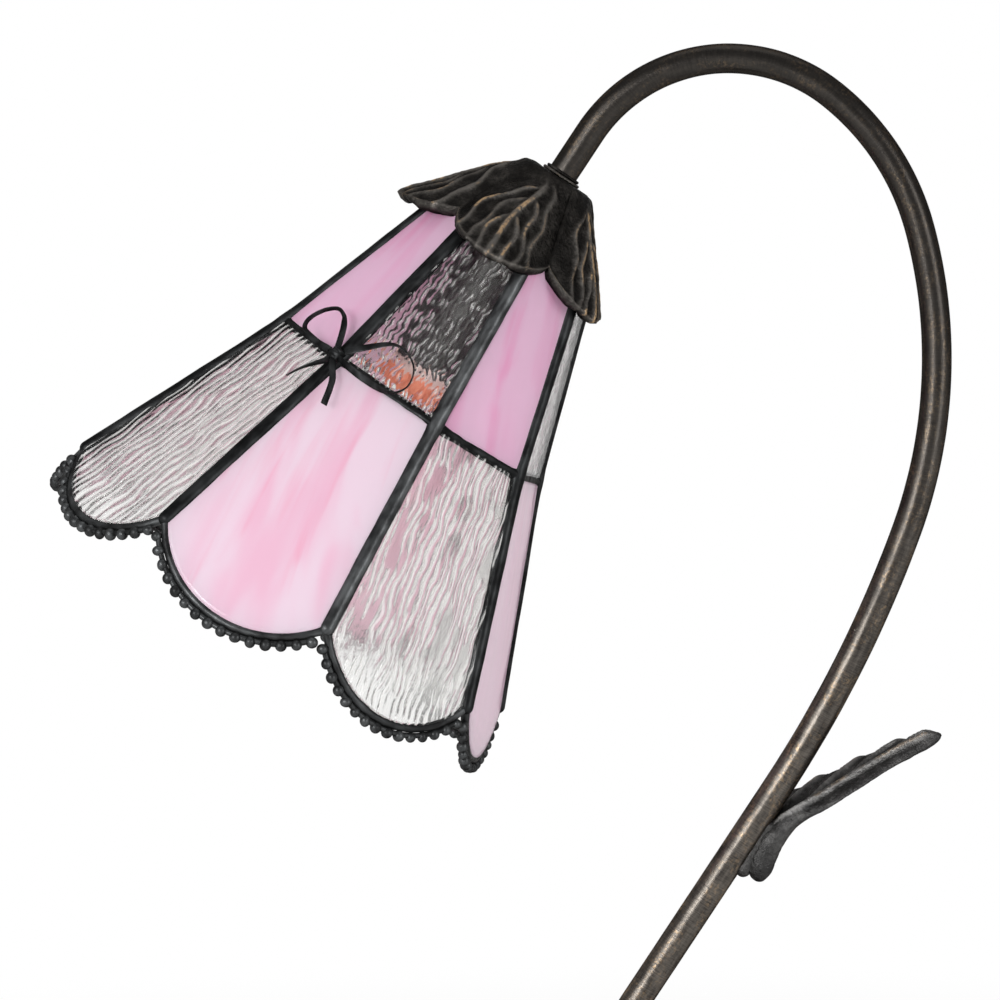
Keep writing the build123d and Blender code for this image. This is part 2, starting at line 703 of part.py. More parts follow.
def write_shade():
    vase = vase_cap()
    upper, lower = upper_pane(), lower_pane()
    rib = rib_came(upper, lower, vase)
    ribs = [rib, Rot(0, 0, -STEP) * rib]
    waist = cross_came(WAIST, WAIST_CAME_R, [upper, lower, *ribs])
    crown = cross_came(TOP, CROWN_CAME_R, [upper, vase, *ribs])
    edging = rim_edging(lower, ribs)
    knot, loops, tails = bow([rib, waist, Rot(0, 0, STEP) * waist])
    panels = [SHADE_PLACE * Rot(0, 0, STEP * i) for i in range(PANELS)]
    for number, panel in enumerate(panels, 1):
        save(f"upper_pane_{number}", panel * upper)
        save(f"lower_pane_{number}", panel * lower)
        save(f"rib_came_{number}", panel * rib)
    save("crown_came", *[panel * crown for panel in panels])
    save("waist_came", *[panel * waist for panel in panels])
    save("rim_edging", *[panel * edging for panel in panels])
    save("vase_cap", SHADE_PLACE * vase)
    save("bow_knot", SHADE_PLACE * knot)
    save("bow_loops", *[SHADE_PLACE * loop for loop in loops])
    save("bow_tails", *[SHADE_PLACE * tail for tail in tails])


os.makedirs("parts", exist_ok=True)
write_base()
write_stem()
write_head()
write_shade()
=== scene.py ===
from math import asin, atan2, cos, degrees, hypot, pi, radians, sin, sqrt

import bpy
import numpy as np
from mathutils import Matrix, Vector


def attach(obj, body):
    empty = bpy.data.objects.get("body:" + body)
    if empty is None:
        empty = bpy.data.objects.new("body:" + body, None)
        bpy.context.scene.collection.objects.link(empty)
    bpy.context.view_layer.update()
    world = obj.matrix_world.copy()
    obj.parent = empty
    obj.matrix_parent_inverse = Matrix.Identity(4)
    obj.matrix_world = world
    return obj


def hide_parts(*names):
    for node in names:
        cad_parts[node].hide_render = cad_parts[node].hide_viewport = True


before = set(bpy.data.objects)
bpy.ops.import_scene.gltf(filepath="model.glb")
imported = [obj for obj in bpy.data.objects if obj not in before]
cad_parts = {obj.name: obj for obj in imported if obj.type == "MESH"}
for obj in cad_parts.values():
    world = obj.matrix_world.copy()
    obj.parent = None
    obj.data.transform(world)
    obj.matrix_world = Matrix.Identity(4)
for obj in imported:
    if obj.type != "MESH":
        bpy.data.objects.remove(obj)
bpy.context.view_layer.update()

# Sizes in millimetres and degrees. Those that the solids share are as in the part's source
MM = 0.001
TUBE_R = 5.0
TUBE_FOOT = (0.0, 20.0)
FOOT_STRAIGHT = 25.5
STEM_LEGS = ((60.0, -33.5), (86.0, 0), (410.0, 13.5), (168.0, 35.0), (85.0, 36.5), (55.4, 95.0), (18.0, 0))
TUBE_IN_SHADE = 27.0

PANELS = 8
STEP = 360.0 / PANELS
HALF = radians(STEP / 2)
SHADE_TURN = 8.2
GLASS_T = 3.0
TOP = (28.7, 26.0)
WAIST = (50.2, 89.5)
RIM = (82.5, 160.3)
PETAL_DROP = 17.7
PETAL_HALF = RIM[0] * sin(HALF)
PETAL_R = (PETAL_HALF**2 + PETAL_DROP**2) / (2 * PETAL_DROP)
CAME_HEART = 1.6
RIB_R = 2.5
WAIST_CAME_R = 1.9
CROWN_CAME_R = 1.4
RIM_CAME_R = 1.65
RIM_STRIP_R = 1.45
BEAD_R = 1.85
BEAD_SINK = 0.5
BEAD_PITCH = 5.1
ROW_GAP = 0.3
BEAD_WIRE_R = 0.95
BEAD_WIRE_IN = 0.6


class Socket:
    """An output of a node. Arithmetic on it adds Math nodes to the same tree."""

    def __init__(self, nodes, output):
        self.nodes = nodes
        self.output = output

    def math(self, operation, *values):
        return self.nodes.add("ShaderNodeMath", {"operation": operation}, dict(enumerate(values)))[0]

    def __add__(self, other):
        return self.math("ADD", self, other)

    def __radd__(self, other):
        return self.math("ADD", other, self)

    def __sub__(self, other):
        return self.math("SUBTRACT", self, other)

    def __rsub__(self, other):
        return self.math("SUBTRACT", other, self)

    def __mul__(self, other):
        return self.math("MULTIPLY", self, other)

    def __rmul__(self, other):
        return self.math("MULTIPLY", other, self)

    def __truediv__(self, other):
        return self.math("DIVIDE", self, other)

    def __pow__(self, other):
        return self.math("POWER", self, other)

    def either(self, other):
        return self.math("MAXIMUM", self, other)

    def bell(self, middle, width):
        """1 at the middle, falling to 0 a few widths to each side."""
        return self.math("EXPONENT", ((self - middle) / width) ** 2 * -1)

    def between(self, low, high):
        """0 below low, 1 above high and a smooth rise from one to the other."""
        settings = {"interpolation_type": "SMOOTHSTEP"}
        return self.nodes.add("ShaderNodeMapRange", settings, {0: self, 1: low, 2: high})[0]


class Made:
    """A node that was added, with its outputs by name or number."""

    def __init__(self, nodes, node):
        self.nodes = nodes
        self.node = node

    def __getitem__(self, key):
        return Socket(self.nodes, self.node.outputs[key])


class Nodes:
    """A node tree, and the one way to add a node to it."""

    def __init__(self, tree):
        self.tree = tree

    def add(self, kind, settings=None, inputs=None):
        node = self.tree.nodes.new(kind)
        for name, value in (settings or {}).items():
            setattr(node, name, value)
        for name, value in (inputs or {}).items():
            if isinstance(value, Socket):
                self.tree.links.new(value.output, node.inputs[name])
            else:
                node.inputs[name].default_value = value
        return Made(self, node)

    def vector(self, operation, first, second):
        name = "Scale" if operation == "SCALE" else 1
        return self.add("ShaderNodeVectorMath", {"operation": operation}, {0: first, name: second})[0]

    def noise(self, place, stretch, output=0, **inputs):
        """Smooth noise over a place that is stretched first; stretch is in waves per metre."""
        stretched = self.vector("MULTIPLY", place, stretch)
        return self.add("ShaderNodeTexNoise", {}, {"Vector": stretched, "Scale": 1.0, **inputs})[output]

    def blend(self, share, first, second):
        """A colour between two, first where the share is 0."""
        return self.add("ShaderNodeMix", {"data_type": "RGBA"}, {0: share, 6: first, 7: second})[2]

    def mix(self, share, first, second):
        """A shader between two, first where the share is 0."""
        return self.add("ShaderNodeMixShader", {}, {0: share, 1: first, 2: second})[0]


def paint(red, green, blue):
    return (red, green, blue, 1.0)


# Finishes
def finish(name):
    material = bpy.data.materials.new(name)
    material.use_nodes = True
    material.node_tree.nodes.clear()
    return material, Nodes(material.node_tree)


def shown(material, nodes, shader):
    """The material, with the shader on its surface."""
    nodes.add("ShaderNodeOutputMaterial", {}, {"Surface": shader})
    return material


def object_place(nodes):
    return nodes.add("ShaderNodeTexCoord")["Object"]


def stored(nodes, name, output="Vector"):
    return nodes.add("ShaderNodeAttribute", {"attribute_name": name})[output]


def bump(nodes, height, depth):
    return nodes.add("ShaderNodeBump", {}, {"Distance": depth, "Height": height})["Normal"]


def surface(nodes, **inputs):
    named = {name.replace("_", " "): value for name, value in inputs.items()}
    return nodes.add("ShaderNodeBsdfPrincipled", {}, named)["BSDF"]


DARK_BRONZE = paint(0.016, 0.0145, 0.013)
TUBE_DARK = paint(0.026, 0.0238, 0.022)
TUBE_LIT_FOOT = paint(0.155, 0.138, 0.120)
BROWN_BRONZE = paint(0.095, 0.084, 0.073)
RUBBED_GOLD = paint(0.42, 0.29, 0.17)
EDGE_TINT = paint(0.22, 0.20, 0.18)
# Metres along the tube, from its foot, over which the lighter finish near the foot, a painted highlight,
# gives way to the dark one
LIT_FOOT_END = (0.13, 0.32)
# Radius and width, in metres, of the rubbed rings on the rim and on the step of the base
RUBBED_RIM = (0.0785, 0.0016)
RUBBED_STEP = (0.030, 0.0014)


def tube_bronze():
    """Dark bronze with fine marks round the tube and gold flecks of wear, painted lighter, browner and more
    flecked towards its foot as a painted highlight of the stronger light there.
    """
    material, nodes = finish("bronze_brushed_tube")
    grain = stored(nodes, "grain")
    streak = nodes.noise(grain, (420, 420, 90), Detail=4.0, Roughness=0.65)
    cloud = nodes.noise(grain, (260, 260, 120), Detail=2.0)
    speck = nodes.noise(grain, (1000, 1000, 900), Detail=3.0, Roughness=0.6)
    hatch = nodes.noise(grain, (260, 260, 2600), Detail=2.0)
    # Painted highlight: 1 near the foot, where the stem is painted lighter as if more strongly lit, falling
    # to 0 higher up
    lit_foot = 1 - nodes.add("ShaderNodeSeparateXYZ", {}, {0: grain})["Z"].between(*LIT_FOOT_END)
    brown_and_lit = (streak * 0.6 + hatch * 0.4).between(0.25, 0.75) * (lit_foot * 0.85 + 0.18)
    brown = nodes.blend(brown_and_lit, TUBE_DARK, TUBE_LIT_FOOT)
    # Gold flecks of wear, made denser towards the foot by the painted highlight
    worn = speck.between(0.44, 0.72) * cloud.between(0.42, 0.64) * (lit_foot * 0.28 + 0.14)
    return shown(material, nodes, surface(
        nodes,
        Base_Color=nodes.blend(worn, brown, RUBBED_GOLD),
        Metallic=0.9,
        Specular_Tint=EDGE_TINT,
        Roughness=hatch * 0.12 + 0.26,
        Normal=bump(nodes, hatch * 0.4 + speck * 0.6, 0.00008),
    ))


def cast_bronze(name, dark, brown, rub):
    """Cast bronze, dark in its hollows and rubbed to gold where the casting stands highest."""
    material, nodes = finish(name)
    place = object_place(nodes)
    cloud = nodes.noise(place, (140, 140, 140), Detail=3.0)
    pits = nodes.noise(place, (900, 900, 900), Detail=3.0, Roughness=0.65)
    patch = nodes.noise(place, (120, 120, 120), Detail=1.0)
    relief = stored(nodes, "relief", "Fac")
    skin = nodes.blend((cloud * 0.6 + relief * 0.5 + pits * 0.3).between(0.35, 0.95), dark, brown)
    worn = relief.between(0.45, 0.95) * pits.between(0.36, 0.56) * patch.between(0.45, 0.58) * rub
    return shown(material, nodes, surface(
        nodes,
        Base_Color=nodes.blend(worn, skin, RUBBED_GOLD),
        Metallic=0.85,
        Specular_Tint=EDGE_TINT,
        Roughness=pits * 0.25 + 0.27,
        Normal=bump(nodes, pits, 0.0005),
    ))


def turned_bronze():
    """Dark bronze turned on a lathe: fine rings round the lamp's foot, worn on the edges of its steps."""
    material, nodes = finish("bronze_turned")
    place = object_place(nodes)
    flat = nodes.vector("MULTIPLY", place, (1.0, 1.0, 0.0))
    radius = nodes.add("ShaderNodeVectorMath", {"operation": "LENGTH"}, {0: flat})["Value"]
    cloud = nodes.noise(place, (70, 70, 70), Detail=3.0)
    rings = nodes.noise(nodes.add("ShaderNodeCombineXYZ", {}, {0: radius})[0], (1600, 1, 1), Detail=2.0)
    pits = nodes.noise(place, (700, 700, 700), Detail=3.0)
    edges = radius.bell(*RUBBED_RIM).either(radius.bell(*RUBBED_STEP))
    skin = nodes.blend(cloud * 0.5 + rings * 0.5, DARK_BRONZE, BROWN_BRONZE)
    return shown(material, nodes, surface(
        nodes,
        Base_Color=nodes.blend(edges * pits.between(0.4, 0.62) * 0.6, skin, RUBBED_GOLD),
        Metallic=0.9,
        Specular_Tint=EDGE_TINT,
        Roughness=rings * 0.15 + cloud * 0.1 + 0.24,
        Normal=bump(nodes, rings * 0.6 + pits * 0.4, 0.00025),
    ))


def black_solder(name, stretched, dark, light):
    """Solder with a black patina: uneven, with a soft grey sheen."""
    material, nodes = finish(name)
    place = stored(nodes, "grain") if stretched else object_place(nodes)
    flow = nodes.noise(place, (260, 260, 120), Detail=2.0)
    fine = nodes.noise(place, (1500, 1500, 900), Detail=2.0)
    return shown(material, nodes, surface(
        nodes,
        Base_Color=nodes.blend(flow.between(0.3, 0.75), dark, light),
        Metallic=0.8,
        Specular_Tint=EDGE_TINT,
        Roughness=fine * 0.2 + 0.31,
        Normal=bump(nodes, flow * 0.7 + fine * 0.3, 0.0002),
    ))


# A pane's third coordinate is its number; so many waves along it keep the pattern of one pane from the next
SHEET_WAVES = 900.0
STREAK_DRIFT = 0.003
LIT_SHARE = 0.5
# Share of painted light on a pink pane's inner face, whose colour is blended towards a paler one that
# brightens the shade's dim inside
PAINTED_INSIDE_LIGHT = 0.8


def pink_glass(name, pale, pink, strong, inside, fading):
    """Opalescent glass: cloudy white, with pink drawn out from the narrow end of the pane to the wide one.

    The light that comes through from behind is nearer to the pale colour, by the fading.
    """
    material, nodes = finish(name)
    fan, tone_and_glare = stored(nodes, "fan"), stored(nodes, "tone_and_glare", "Fac")
    drift = nodes.noise(fan, (34, 16, SHEET_WAVES), "Color", Detail=1.0)
    drifted = nodes.vector("ADD", fan, nodes.vector("SCALE", drift, STREAK_DRIFT))
    wide = nodes.noise(drifted, (52, 7, SHEET_WAVES), Detail=2.0)
    thin = nodes.noise(drifted, (150, 9, SHEET_WAVES), Detail=3.0, Roughness=0.5)
    layers = (
        (wide.between(0.40, 0.66) * tone_and_glare, pink),
        (thin.between(0.52, 0.74) * wide.between(0.35, 0.6) * tone_and_glare * 0.75, strong),
        # Painted light: the inner face is blended towards the paler inside colour, brightening the inside of
        # the shade
        (stored(nodes, "inner", "Fac") * PAINTED_INSIDE_LIGHT, inside),
    )

    def lit_through(colour):
        faded = tuple(own + (white - own) * fading for own, white in zip(colour, pale))
        return nodes.add("ShaderNodeBsdfTranslucent", {}, {"Color": faded})[0]

    colour, lit = pale, lit_through(pale)
    for share, layer in layers:
        colour, lit = nodes.blend(share, colour, layer), nodes.mix(share, lit, lit_through(layer))
    solid = surface(
        nodes,
        Base_Color=colour,
        Roughness=0.14,
        Specular_IOR_Level=0.5,
        Normal=bump(nodes, wide, 0.0006),
    )
    return shown(material, nodes, nodes.mix(LIT_SHARE, solid, lit))


CLEAR_TINTS = paint(0.83, 0.825, 0.81), paint(0.93, 0.93, 0.92)
CREST_GLEAM_TINTS = paint(0.70, 0.69, 0.67), paint(0.81, 0.805, 0.79)
LAMP_TINT = paint(0.84, 0.84, 0.83)
GLEAM_TINT = paint(0.4, 0.4, 0.4)


def clear_glass(name, gleam_share, rough):
    """Rippled clear glass, faintly grey, with fine seeds and pale grey painted on its ripple crests as a
    painted highlight. Lamps shine through it.
    """
    material, nodes = finish(name)
    pane = stored(nodes, "pane")
    haze = nodes.noise(pane, (300, 60, SHEET_WAVES), Detail=2.0)
    seeds = nodes.noise(pane, (1000, 420, SHEET_WAVES), Detail=2.0)
    clear = surface(
        nodes,
        Base_Color=nodes.blend(haze, *CLEAR_TINTS),
        Roughness=haze * 0.12 + rough,
        Specular_Tint=GLEAM_TINT,
        IOR=1.52,
        Transmission_Weight=1.0,
        Normal=bump(nodes, seeds, 0.00008),
    )
    # The pale grey surface on the crests is a painted highlight: the glint of light on the ripples
    crest_gleam = surface(nodes, Base_Color=nodes.blend(haze, *CREST_GLEAM_TINTS), Roughness=0.2)
    glass = nodes.mix(stored(nodes, "crest", "Fac") * gleam_share, clear, crest_gleam)
    lamp_ray = nodes.add("ShaderNodeLightPath")["Is Shadow Ray"]
    open_way = nodes.add("ShaderNodeBsdfTransparent", {}, {"Color": LAMP_TINT})[0]
    return shown(material, nodes, nodes.mix(lamp_ray, glass, open_way))


def mottled(name, dark, light, waves, roughness, metallic=0.0, depth=0.00015):
    """A plain finish with uneven colour, gloss and surface, for a small turned or moulded piece."""
    material, nodes = finish(name)
    place = object_place(nodes)
    cloud = nodes.noise(place, (waves,) * 3, Detail=3.0)
    fine = nodes.noise(place, (waves * 6,) * 3, Detail=2.0)
    return shown(material, nodes, surface(
        nodes,
        Base_Color=nodes.blend(cloud.between(0.3, 0.7), dark, light),
        Metallic=metallic,
        Roughness=fine * 0.2 + (roughness - 0.1),
        Normal=bump(nodes, fine, depth),
    ))


TUBE_BRONZE = tube_bronze()
CAP_BRONZE = cast_bronze("bronze_cast_cap", paint(0.012, 0.0112, 0.0104), paint(0.130, 0.120, 0.109), 1.4)
LEAF_BRONZE = cast_bronze("bronze_cast_leaf", paint(0.040, 0.0395, 0.039), paint(0.215, 0.210, 0.204), 0.5)
TURNED_BRONZE = turned_bronze()
BLACK_PATINA = paint(0.008, 0.0083, 0.0087), paint(0.036, 0.038, 0.039)
# A lit copy of the black solder: the lighter colour is a painted sheen for the rib that faces the lamps
SHEEN_PATINA = paint(0.030, 0.031, 0.032), paint(0.120, 0.125, 0.128)
GREY_PATINA = paint(0.022, 0.0225, 0.023), paint(0.088, 0.092, 0.094)
RIBBON_PATINA = paint(0.010, 0.0103, 0.0107), paint(0.044, 0.046, 0.047)
CAME_SOLDER = black_solder("solder_black_patina", True, *BLACK_PATINA)
SHEEN_SOLDER = black_solder("solder_painted_sheen", True, *SHEEN_PATINA)
RIM_SOLDER = black_solder("solder_grey_rim", True, *GREY_PATINA)
BEAD_SOLDER = black_solder("solder_grey_beads", False, *GREY_PATINA)
RIBBON_SOLDER = black_solder("solder_black_ribbon", False, *RIBBON_PATINA)
# The fourth colour of each is painted light: a paler colour for the panes' inner faces that brightens the
# shade's inside
LOWER_PINK = pink_glass(
    "pink_opalescent_lower", paint(0.86, 0.75, 0.84), paint(0.86, 0.56, 0.70), paint(0.86, 0.42, 0.57),
    paint(0.90, 0.62, 0.68), 0.3)
UPPER_PINK = pink_glass(
    "pink_opalescent_upper", paint(0.87, 0.60, 0.77), paint(0.86, 0.45, 0.66), paint(0.86, 0.35, 0.58),
    paint(0.94, 0.85, 0.87), 0.7)
LOWER_CLEAR = clear_glass("clear_rippled_lower", 0.6, 0.10)
UPPER_CLEAR = clear_glass("clear_rippled_upper", 0.35, 0.04)


# Pieces
def placed(name, data):
    """A new object of the scene."""
    thing = bpy.data.objects.new(name, data)
    bpy.context.scene.collection.objects.link(thing)
    return thing


def new_piece(name, mesh, stands_for, body="lamp"):
    piece = placed(name, mesh)
    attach(piece, body)
    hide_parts(*stands_for)


def new_mesh(name, points, faces, numbers=None, vectors=None):
    """A mesh from points in metres, with named numbers and vectors at its points."""
    mesh = bpy.data.meshes.new(name)
    mesh.from_pydata([tuple(p) for p in points], [], faces)
    for store, kind, field in ((numbers, "FLOAT", "value"), (vectors, "FLOAT_VECTOR", "vector")):
        for key, values in (store or {}).items():
            layer = mesh.attributes.new(key, kind, "POINT")
            layer.data.foreach_set(field, np.asarray(values, np.float32).ravel())
    mesh.update()
    return mesh


def path_mesh(name, runs, swells):
    """Open runs of points as edges, each point with its swell, for a tree that sweeps a bar along them."""
    mesh = bpy.data.meshes.new(name)
    points, edges = [], []
    for run in runs:
        edges += [(len(points) + i, len(points) + i + 1) for i in range(len(run) - 1)]
        points += [tuple(p) for p in run]
    mesh.from_pydata(points, edges, [])
    layer = mesh.attributes.new("swell", "FLOAT", "POINT")
    layer.data.foreach_set("value", np.concatenate(swells).astype(np.float32))
    return mesh


def shaped(mesh, tree, **inputs):
    """The mesh that a Geometry Nodes tree makes of a mesh."""
    carrier = placed("carrier", mesh)
    modifier = carrier.modifiers.new("shape", "NODES")
    modifier.node_group = tree
    sockets = {item.name: item.identifier for item in tree.interface.items_tree if item.in_out == "INPUT"}
    for name, value in inputs.items():
        modifier[sockets[name.replace("_", " ")]] = value
    carrier.update_tag()
    graph = bpy.context.evaluated_depsgraph_get()
    made = bpy.data.meshes.new_from_object(carrier.evaluated_get(graph), depsgraph=graph)
    carrier.modifiers.remove(modifier)
    bpy.data.objects.remove(carrier)
    return made


class Tree(Nodes):
    """A Geometry Nodes tree with named inputs, which ends in Realize Instances and Set Material."""

    def __init__(self, name, **inputs):
        super().__init__(bpy.data.node_groups.new(name, "GeometryNodeTree"))
        face = self.tree.interface
        face.new_socket("Geometry", in_out="INPUT", socket_type="NodeSocketGeometry")
        for key, kind in inputs.items():
            face.new_socket(key.replace("_", " "), in_out="INPUT", socket_type="NodeSocket" + kind)
        face.new_socket("Finish", in_out="INPUT", socket_type="NodeSocketMaterial")
        face.new_socket("Geometry", in_out="OUTPUT", socket_type="NodeSocketGeometry")
        self.given = self.add("NodeGroupInput")

    def named(self, name, kind):
        return self.add("GeometryNodeInputNamedAttribute", {"data_type": kind}, {"Name": name})["Attribute"]

    def store(self, geometry, name, kind, value):
        settings = {"data_type": kind, "domain": "POINT"}
        inputs = {"Geometry": geometry, "Name": name, "Value": value}
        return self.add("GeometryNodeStoreNamedAttribute", settings, inputs)[0]

    def position(self):
        return self.add("GeometryNodeInputPosition")[0]

    def lumps(self, place, scale, seed, detail=1.0):
        """Smooth noise over a place, another for each seed."""
        inputs = {"Vector": place, "Scale": scale, "W": seed, "Detail": detail}
        return self.add("ShaderNodeTexNoise", {"noise_dimensions": "4D"}, inputs)[0]

    def push_out(self, geometry, height):
        """Moves the surface along its normals by a height."""
        normal = self.add("GeometryNodeInputNormal")["Normal"]
        offset = self.vector("SCALE", normal, height)
        return self.add("GeometryNodeSetPosition", {}, {"Geometry": geometry, "Offset": offset})[0]

    def end(self, geometry):
        smooth = self.add("GeometryNodeSetShadeSmooth", {}, {"Geometry": geometry})[0]
        real = self.add("GeometryNodeRealizeInstances", {}, {"Geometry": smooth})[0]
        coat = {"Geometry": real, "Material": self.given["Finish"]}
        done = self.add("GeometryNodeSetMaterial", {}, coat)[0]
        self.add("NodeGroupOutput", {}, {"Geometry": done})
        return self.tree


def swept_bar_tree():
    """A round bar along each run, thick as its swells say, with the unevenness of solder or rolled tube."""
    tree = Tree("swept_bar", Radius="Float", Sides="Int", Lump_height="Float", Lump_waves="Float",
                Seed="Float")
    given = tree.given
    run = tree.add("GeometryNodeMeshToCurve", {}, {"Mesh": given["Geometry"]})[0]
    run = tree.store(run, "along", "FLOAT", tree.add("GeometryNodeSplineParameter")["Length"])
    circle = {"Resolution": given["Sides"], "Radius": given["Radius"]}
    ring = tree.add("GeometryNodeCurvePrimitiveCircle", {}, circle)[0]
    ring = tree.store(ring, "section", "FLOAT_VECTOR", tree.position())
    sweep = {"Curve": run, "Profile Curve": ring, "Scale": tree.named("swell", "FLOAT"), "Fill Caps": True}
    bar = tree.add("GeometryNodeCurveToMesh", {}, sweep)[0]
    length = tree.add("ShaderNodeCombineXYZ", {}, {"Z": tree.named("along", "FLOAT")})[0]
    grain = tree.vector("ADD", tree.named("section", "FLOAT_VECTOR"), length)
    bar = tree.store(bar, "grain", "FLOAT_VECTOR", grain)
    lumps = tree.lumps(tree.position(), given["Lump waves"], given["Seed"])
    return tree.end(tree.push_out(bar, (lumps - 0.5) * given["Lump height"]))


# The ripples' drift and patches, in waves for each ripple, and how softly a patch ends
RIPPLE_DRIFT = 0.3
RIPPLE_PATCH = 0.8
PATCH_SEED = 9.0
PATCH_EDGE = 0.22


def rippled_pane_tree():
    """Ripples that wander along a pane and end with their patch, where its points are marked for them."""
    tree = Tree("rippled_pane", Ripple_height="Float", Crest_start="Float", Waves_across="Float",
                Waves_along="Float", Wander="Float", Bare="Float", Seed="Float")
    given = tree.given
    across, along, seed, bare = (given[name] for name in ("Waves across", "Waves along", "Seed", "Bare"))
    pane, marked = tree.named("pane", "FLOAT_VECTOR"), tree.named("rippled", "FLOAT")

    def cloud(waves, own_seed):
        stretch = tree.add("ShaderNodeCombineXYZ", {}, {0: waves, 1: along, 2: SHEET_WAVES})[0]
        return tree.lumps(tree.vector("MULTIPLY", pane, stretch), 1.0, own_seed)

    sideways = tree.add("ShaderNodeSeparateXYZ", {}, {0: pane})[0]
    drift = cloud(across * RIPPLE_DRIFT, seed)
    turn = (sideways * across + drift * given["Wander"]) * (2 * pi)
    patch = cloud(across * RIPPLE_PATCH, seed + PATCH_SEED)
    ripple = turn.math("SINE", turn) * patch.between(bare, bare + PATCH_EDGE)
    # Ripple crests, which the clear glass paints with a highlight
    crest = ripple.between(given["Crest start"], 1.0) * marked
    sheet = tree.store(given["Geometry"], "crest", "FLOAT", crest)
    return tree.end(tree.push_out(sheet, ripple * given["Ripple height"] * marked))


def cast_skin_tree():
    """The slight unevenness of a sand casting over a whole piece."""
    tree = Tree("cast_skin", Lump_height="Float", Lump_waves="Float", Seed="Float")
    given = tree.given
    lumps = tree.lumps(tree.position(), given["Lump waves"], given["Seed"], 2.0)
    return tree.end(tree.push_out(given["Geometry"], (lumps - 0.5) * given["Lump height"]))


def bead_row_tree():
    """Beads spaced evenly along each run, none quite like the next."""
    tree = Tree("bead_row", Count="Int", Bead_radius="Float", Unevenness="Float", Seed="Int")
    given, uneven = tree.given, tree.given["Unevenness"]
    run = tree.add("GeometryNodeMeshToCurve", {}, {"Mesh": given["Geometry"]})[0]
    places = tree.add("GeometryNodeResampleCurve", {}, {"Curve": run, "Count": given["Count"]})[0]
    ball = {"Segments": 14, "Rings": 9, "Radius": given["Bead radius"]}
    bead = tree.add("GeometryNodeMeshUVSphere", {}, ball)[0]
    low, high = (
        tree.add("ShaderNodeCombineXYZ", {}, dict.fromkeys(range(3), limit))[0]
        for limit in (1.0 - uneven, 1.0 + uneven)
    )
    limits = {0: low, 1: high, "Seed": given["Seed"]}
    size = tree.add("FunctionNodeRandomValue", {"data_type": "FLOAT_VECTOR"}, limits)[0]
    row = {"Points": places, "Instance": bead, "Scale": size}
    return tree.end(tree.add("GeometryNodeInstanceOnPoints", {}, row)[0])


SWEPT_BAR = swept_bar_tree()
RIPPLED_PANE = rippled_pane_tree()
CAST_SKIN = cast_skin_tree()
BEAD_ROW = bead_row_tree()


# Stem
def walk(start, heading, legs, step=1.5):
    """Points along straight legs (length, 0) and bends (radius, turn), and the heading at the end."""
    at, angle, points = np.array(start), radians(heading), [np.array(start)]
    for size, turn in legs:
        sweep = radians(turn)
        side = 1 if turn > 0 else -1
        centre = at + size * side * np.array((-sin(angle), cos(angle)))
        count = max(2, round((size * abs(sweep) if turn else size) / step))
        for share in np.arange(1, count + 1) / count:
            if turn:
                facing = angle + sweep * share
                points.append(centre + size * side * np.array((sin(facing), -cos(facing))))
            else:
                points.append(at + size * share * np.array((cos(angle), sin(angle))))
        at, angle = points[-1], angle + sweep
    return np.array(points), degrees(angle)


def upright(points):
    """Points of the stem's own plane, in space."""
    points = np.asarray(points)
    return np.stack([points[:, 0], np.zeros(len(points)), points[:, 1]], axis=1)


STEM, LAST_HEADING = walk(TUBE_FOOT, 90, ((FOOT_STRAIGHT, 0), *STEM_LEGS))
HEAD = np.array((STEM[-1][0], 0, STEM[-1][1]))
SHADE_Z = np.array((cos(radians(LAST_HEADING)), 0, sin(radians(LAST_HEADING))))
SHADE_X = np.array((0.0, -1.0, 0.0))
SHADE_Y = np.cross(SHADE_Z, SHADE_X)


def stem_tube():
    tail, _ = walk(STEM[-1], LAST_HEADING, ((TUBE_IN_SHADE, 0),))
    run = upright(np.concatenate([STEM, tail[1:]])) * MM
    mesh = path_mesh("stem", [run], [np.ones(len(run))])
    mesh = shaped(mesh, SWEPT_BAR, Radius=TUBE_R * MM, Sides=48, Lump_height=0.00012, Lump_waves=70.0,
                  Seed=3.0, Finish=TUBE_BRONZE)
    new_piece("stem_tube_brushed", mesh, ["stem_tube"])


# Shade
def from_shade(points, turn=0.0):
    """Points beside the shade's axis, turned about it, in metres in the lamp's frame."""
    x, y, z = np.moveaxis(np.asarray(points, float), -1, 0)
    c, s = cos(radians(turn)), sin(radians(turn))
    around = (x * c - y * s)[..., None] * SHADE_X + (x * s + y * c)[..., None] * SHADE_Y
    return (HEAD + around + z[..., None] * SHADE_Z) * MM


def panel_turn(number):
    return SHADE_TURN + STEP * (number - 1)


class Panel:
    """The flat of a panel between two levels: across it, up it and out of it."""

    def __init__(self, top, low):
        (top_r, top_s), (low_r, low_s) = top, low
        rise = np.array(((top_r - low_r) * cos(HALF), 0, top_s - low_s))
        self.slant = np.linalg.norm(rise)
        self.up = rise / self.slant
        self.across = np.array((0.0, -1.0, 0.0))
        self.out = np.cross(self.across, self.up)
        self.origin = np.array((top_r * cos(HALF), 0, top_s))
        self.top_half = top_r * sin(HALF)
        self.low_half = low_r * sin(HALF)

    def at(self, u, v, w):
        u, v, w = (np.asarray(value, float)[..., None] for value in np.broadcast_arrays(u, v, w))
        return self.origin + u * self.across + v * self.up + w * self.out


UPPER = Panel(TOP, WAIST)
LOWER = Panel(WAIST, RIM)
PETAL_CENTRE = PETAL_R - PETAL_DROP - LOWER.slant
PETAL_SWEEP = asin(PETAL_HALF / PETAL_R)
# How often the place is bettered where a pane's slanting side meets its rounded edge
EDGE_ROUNDS = 8


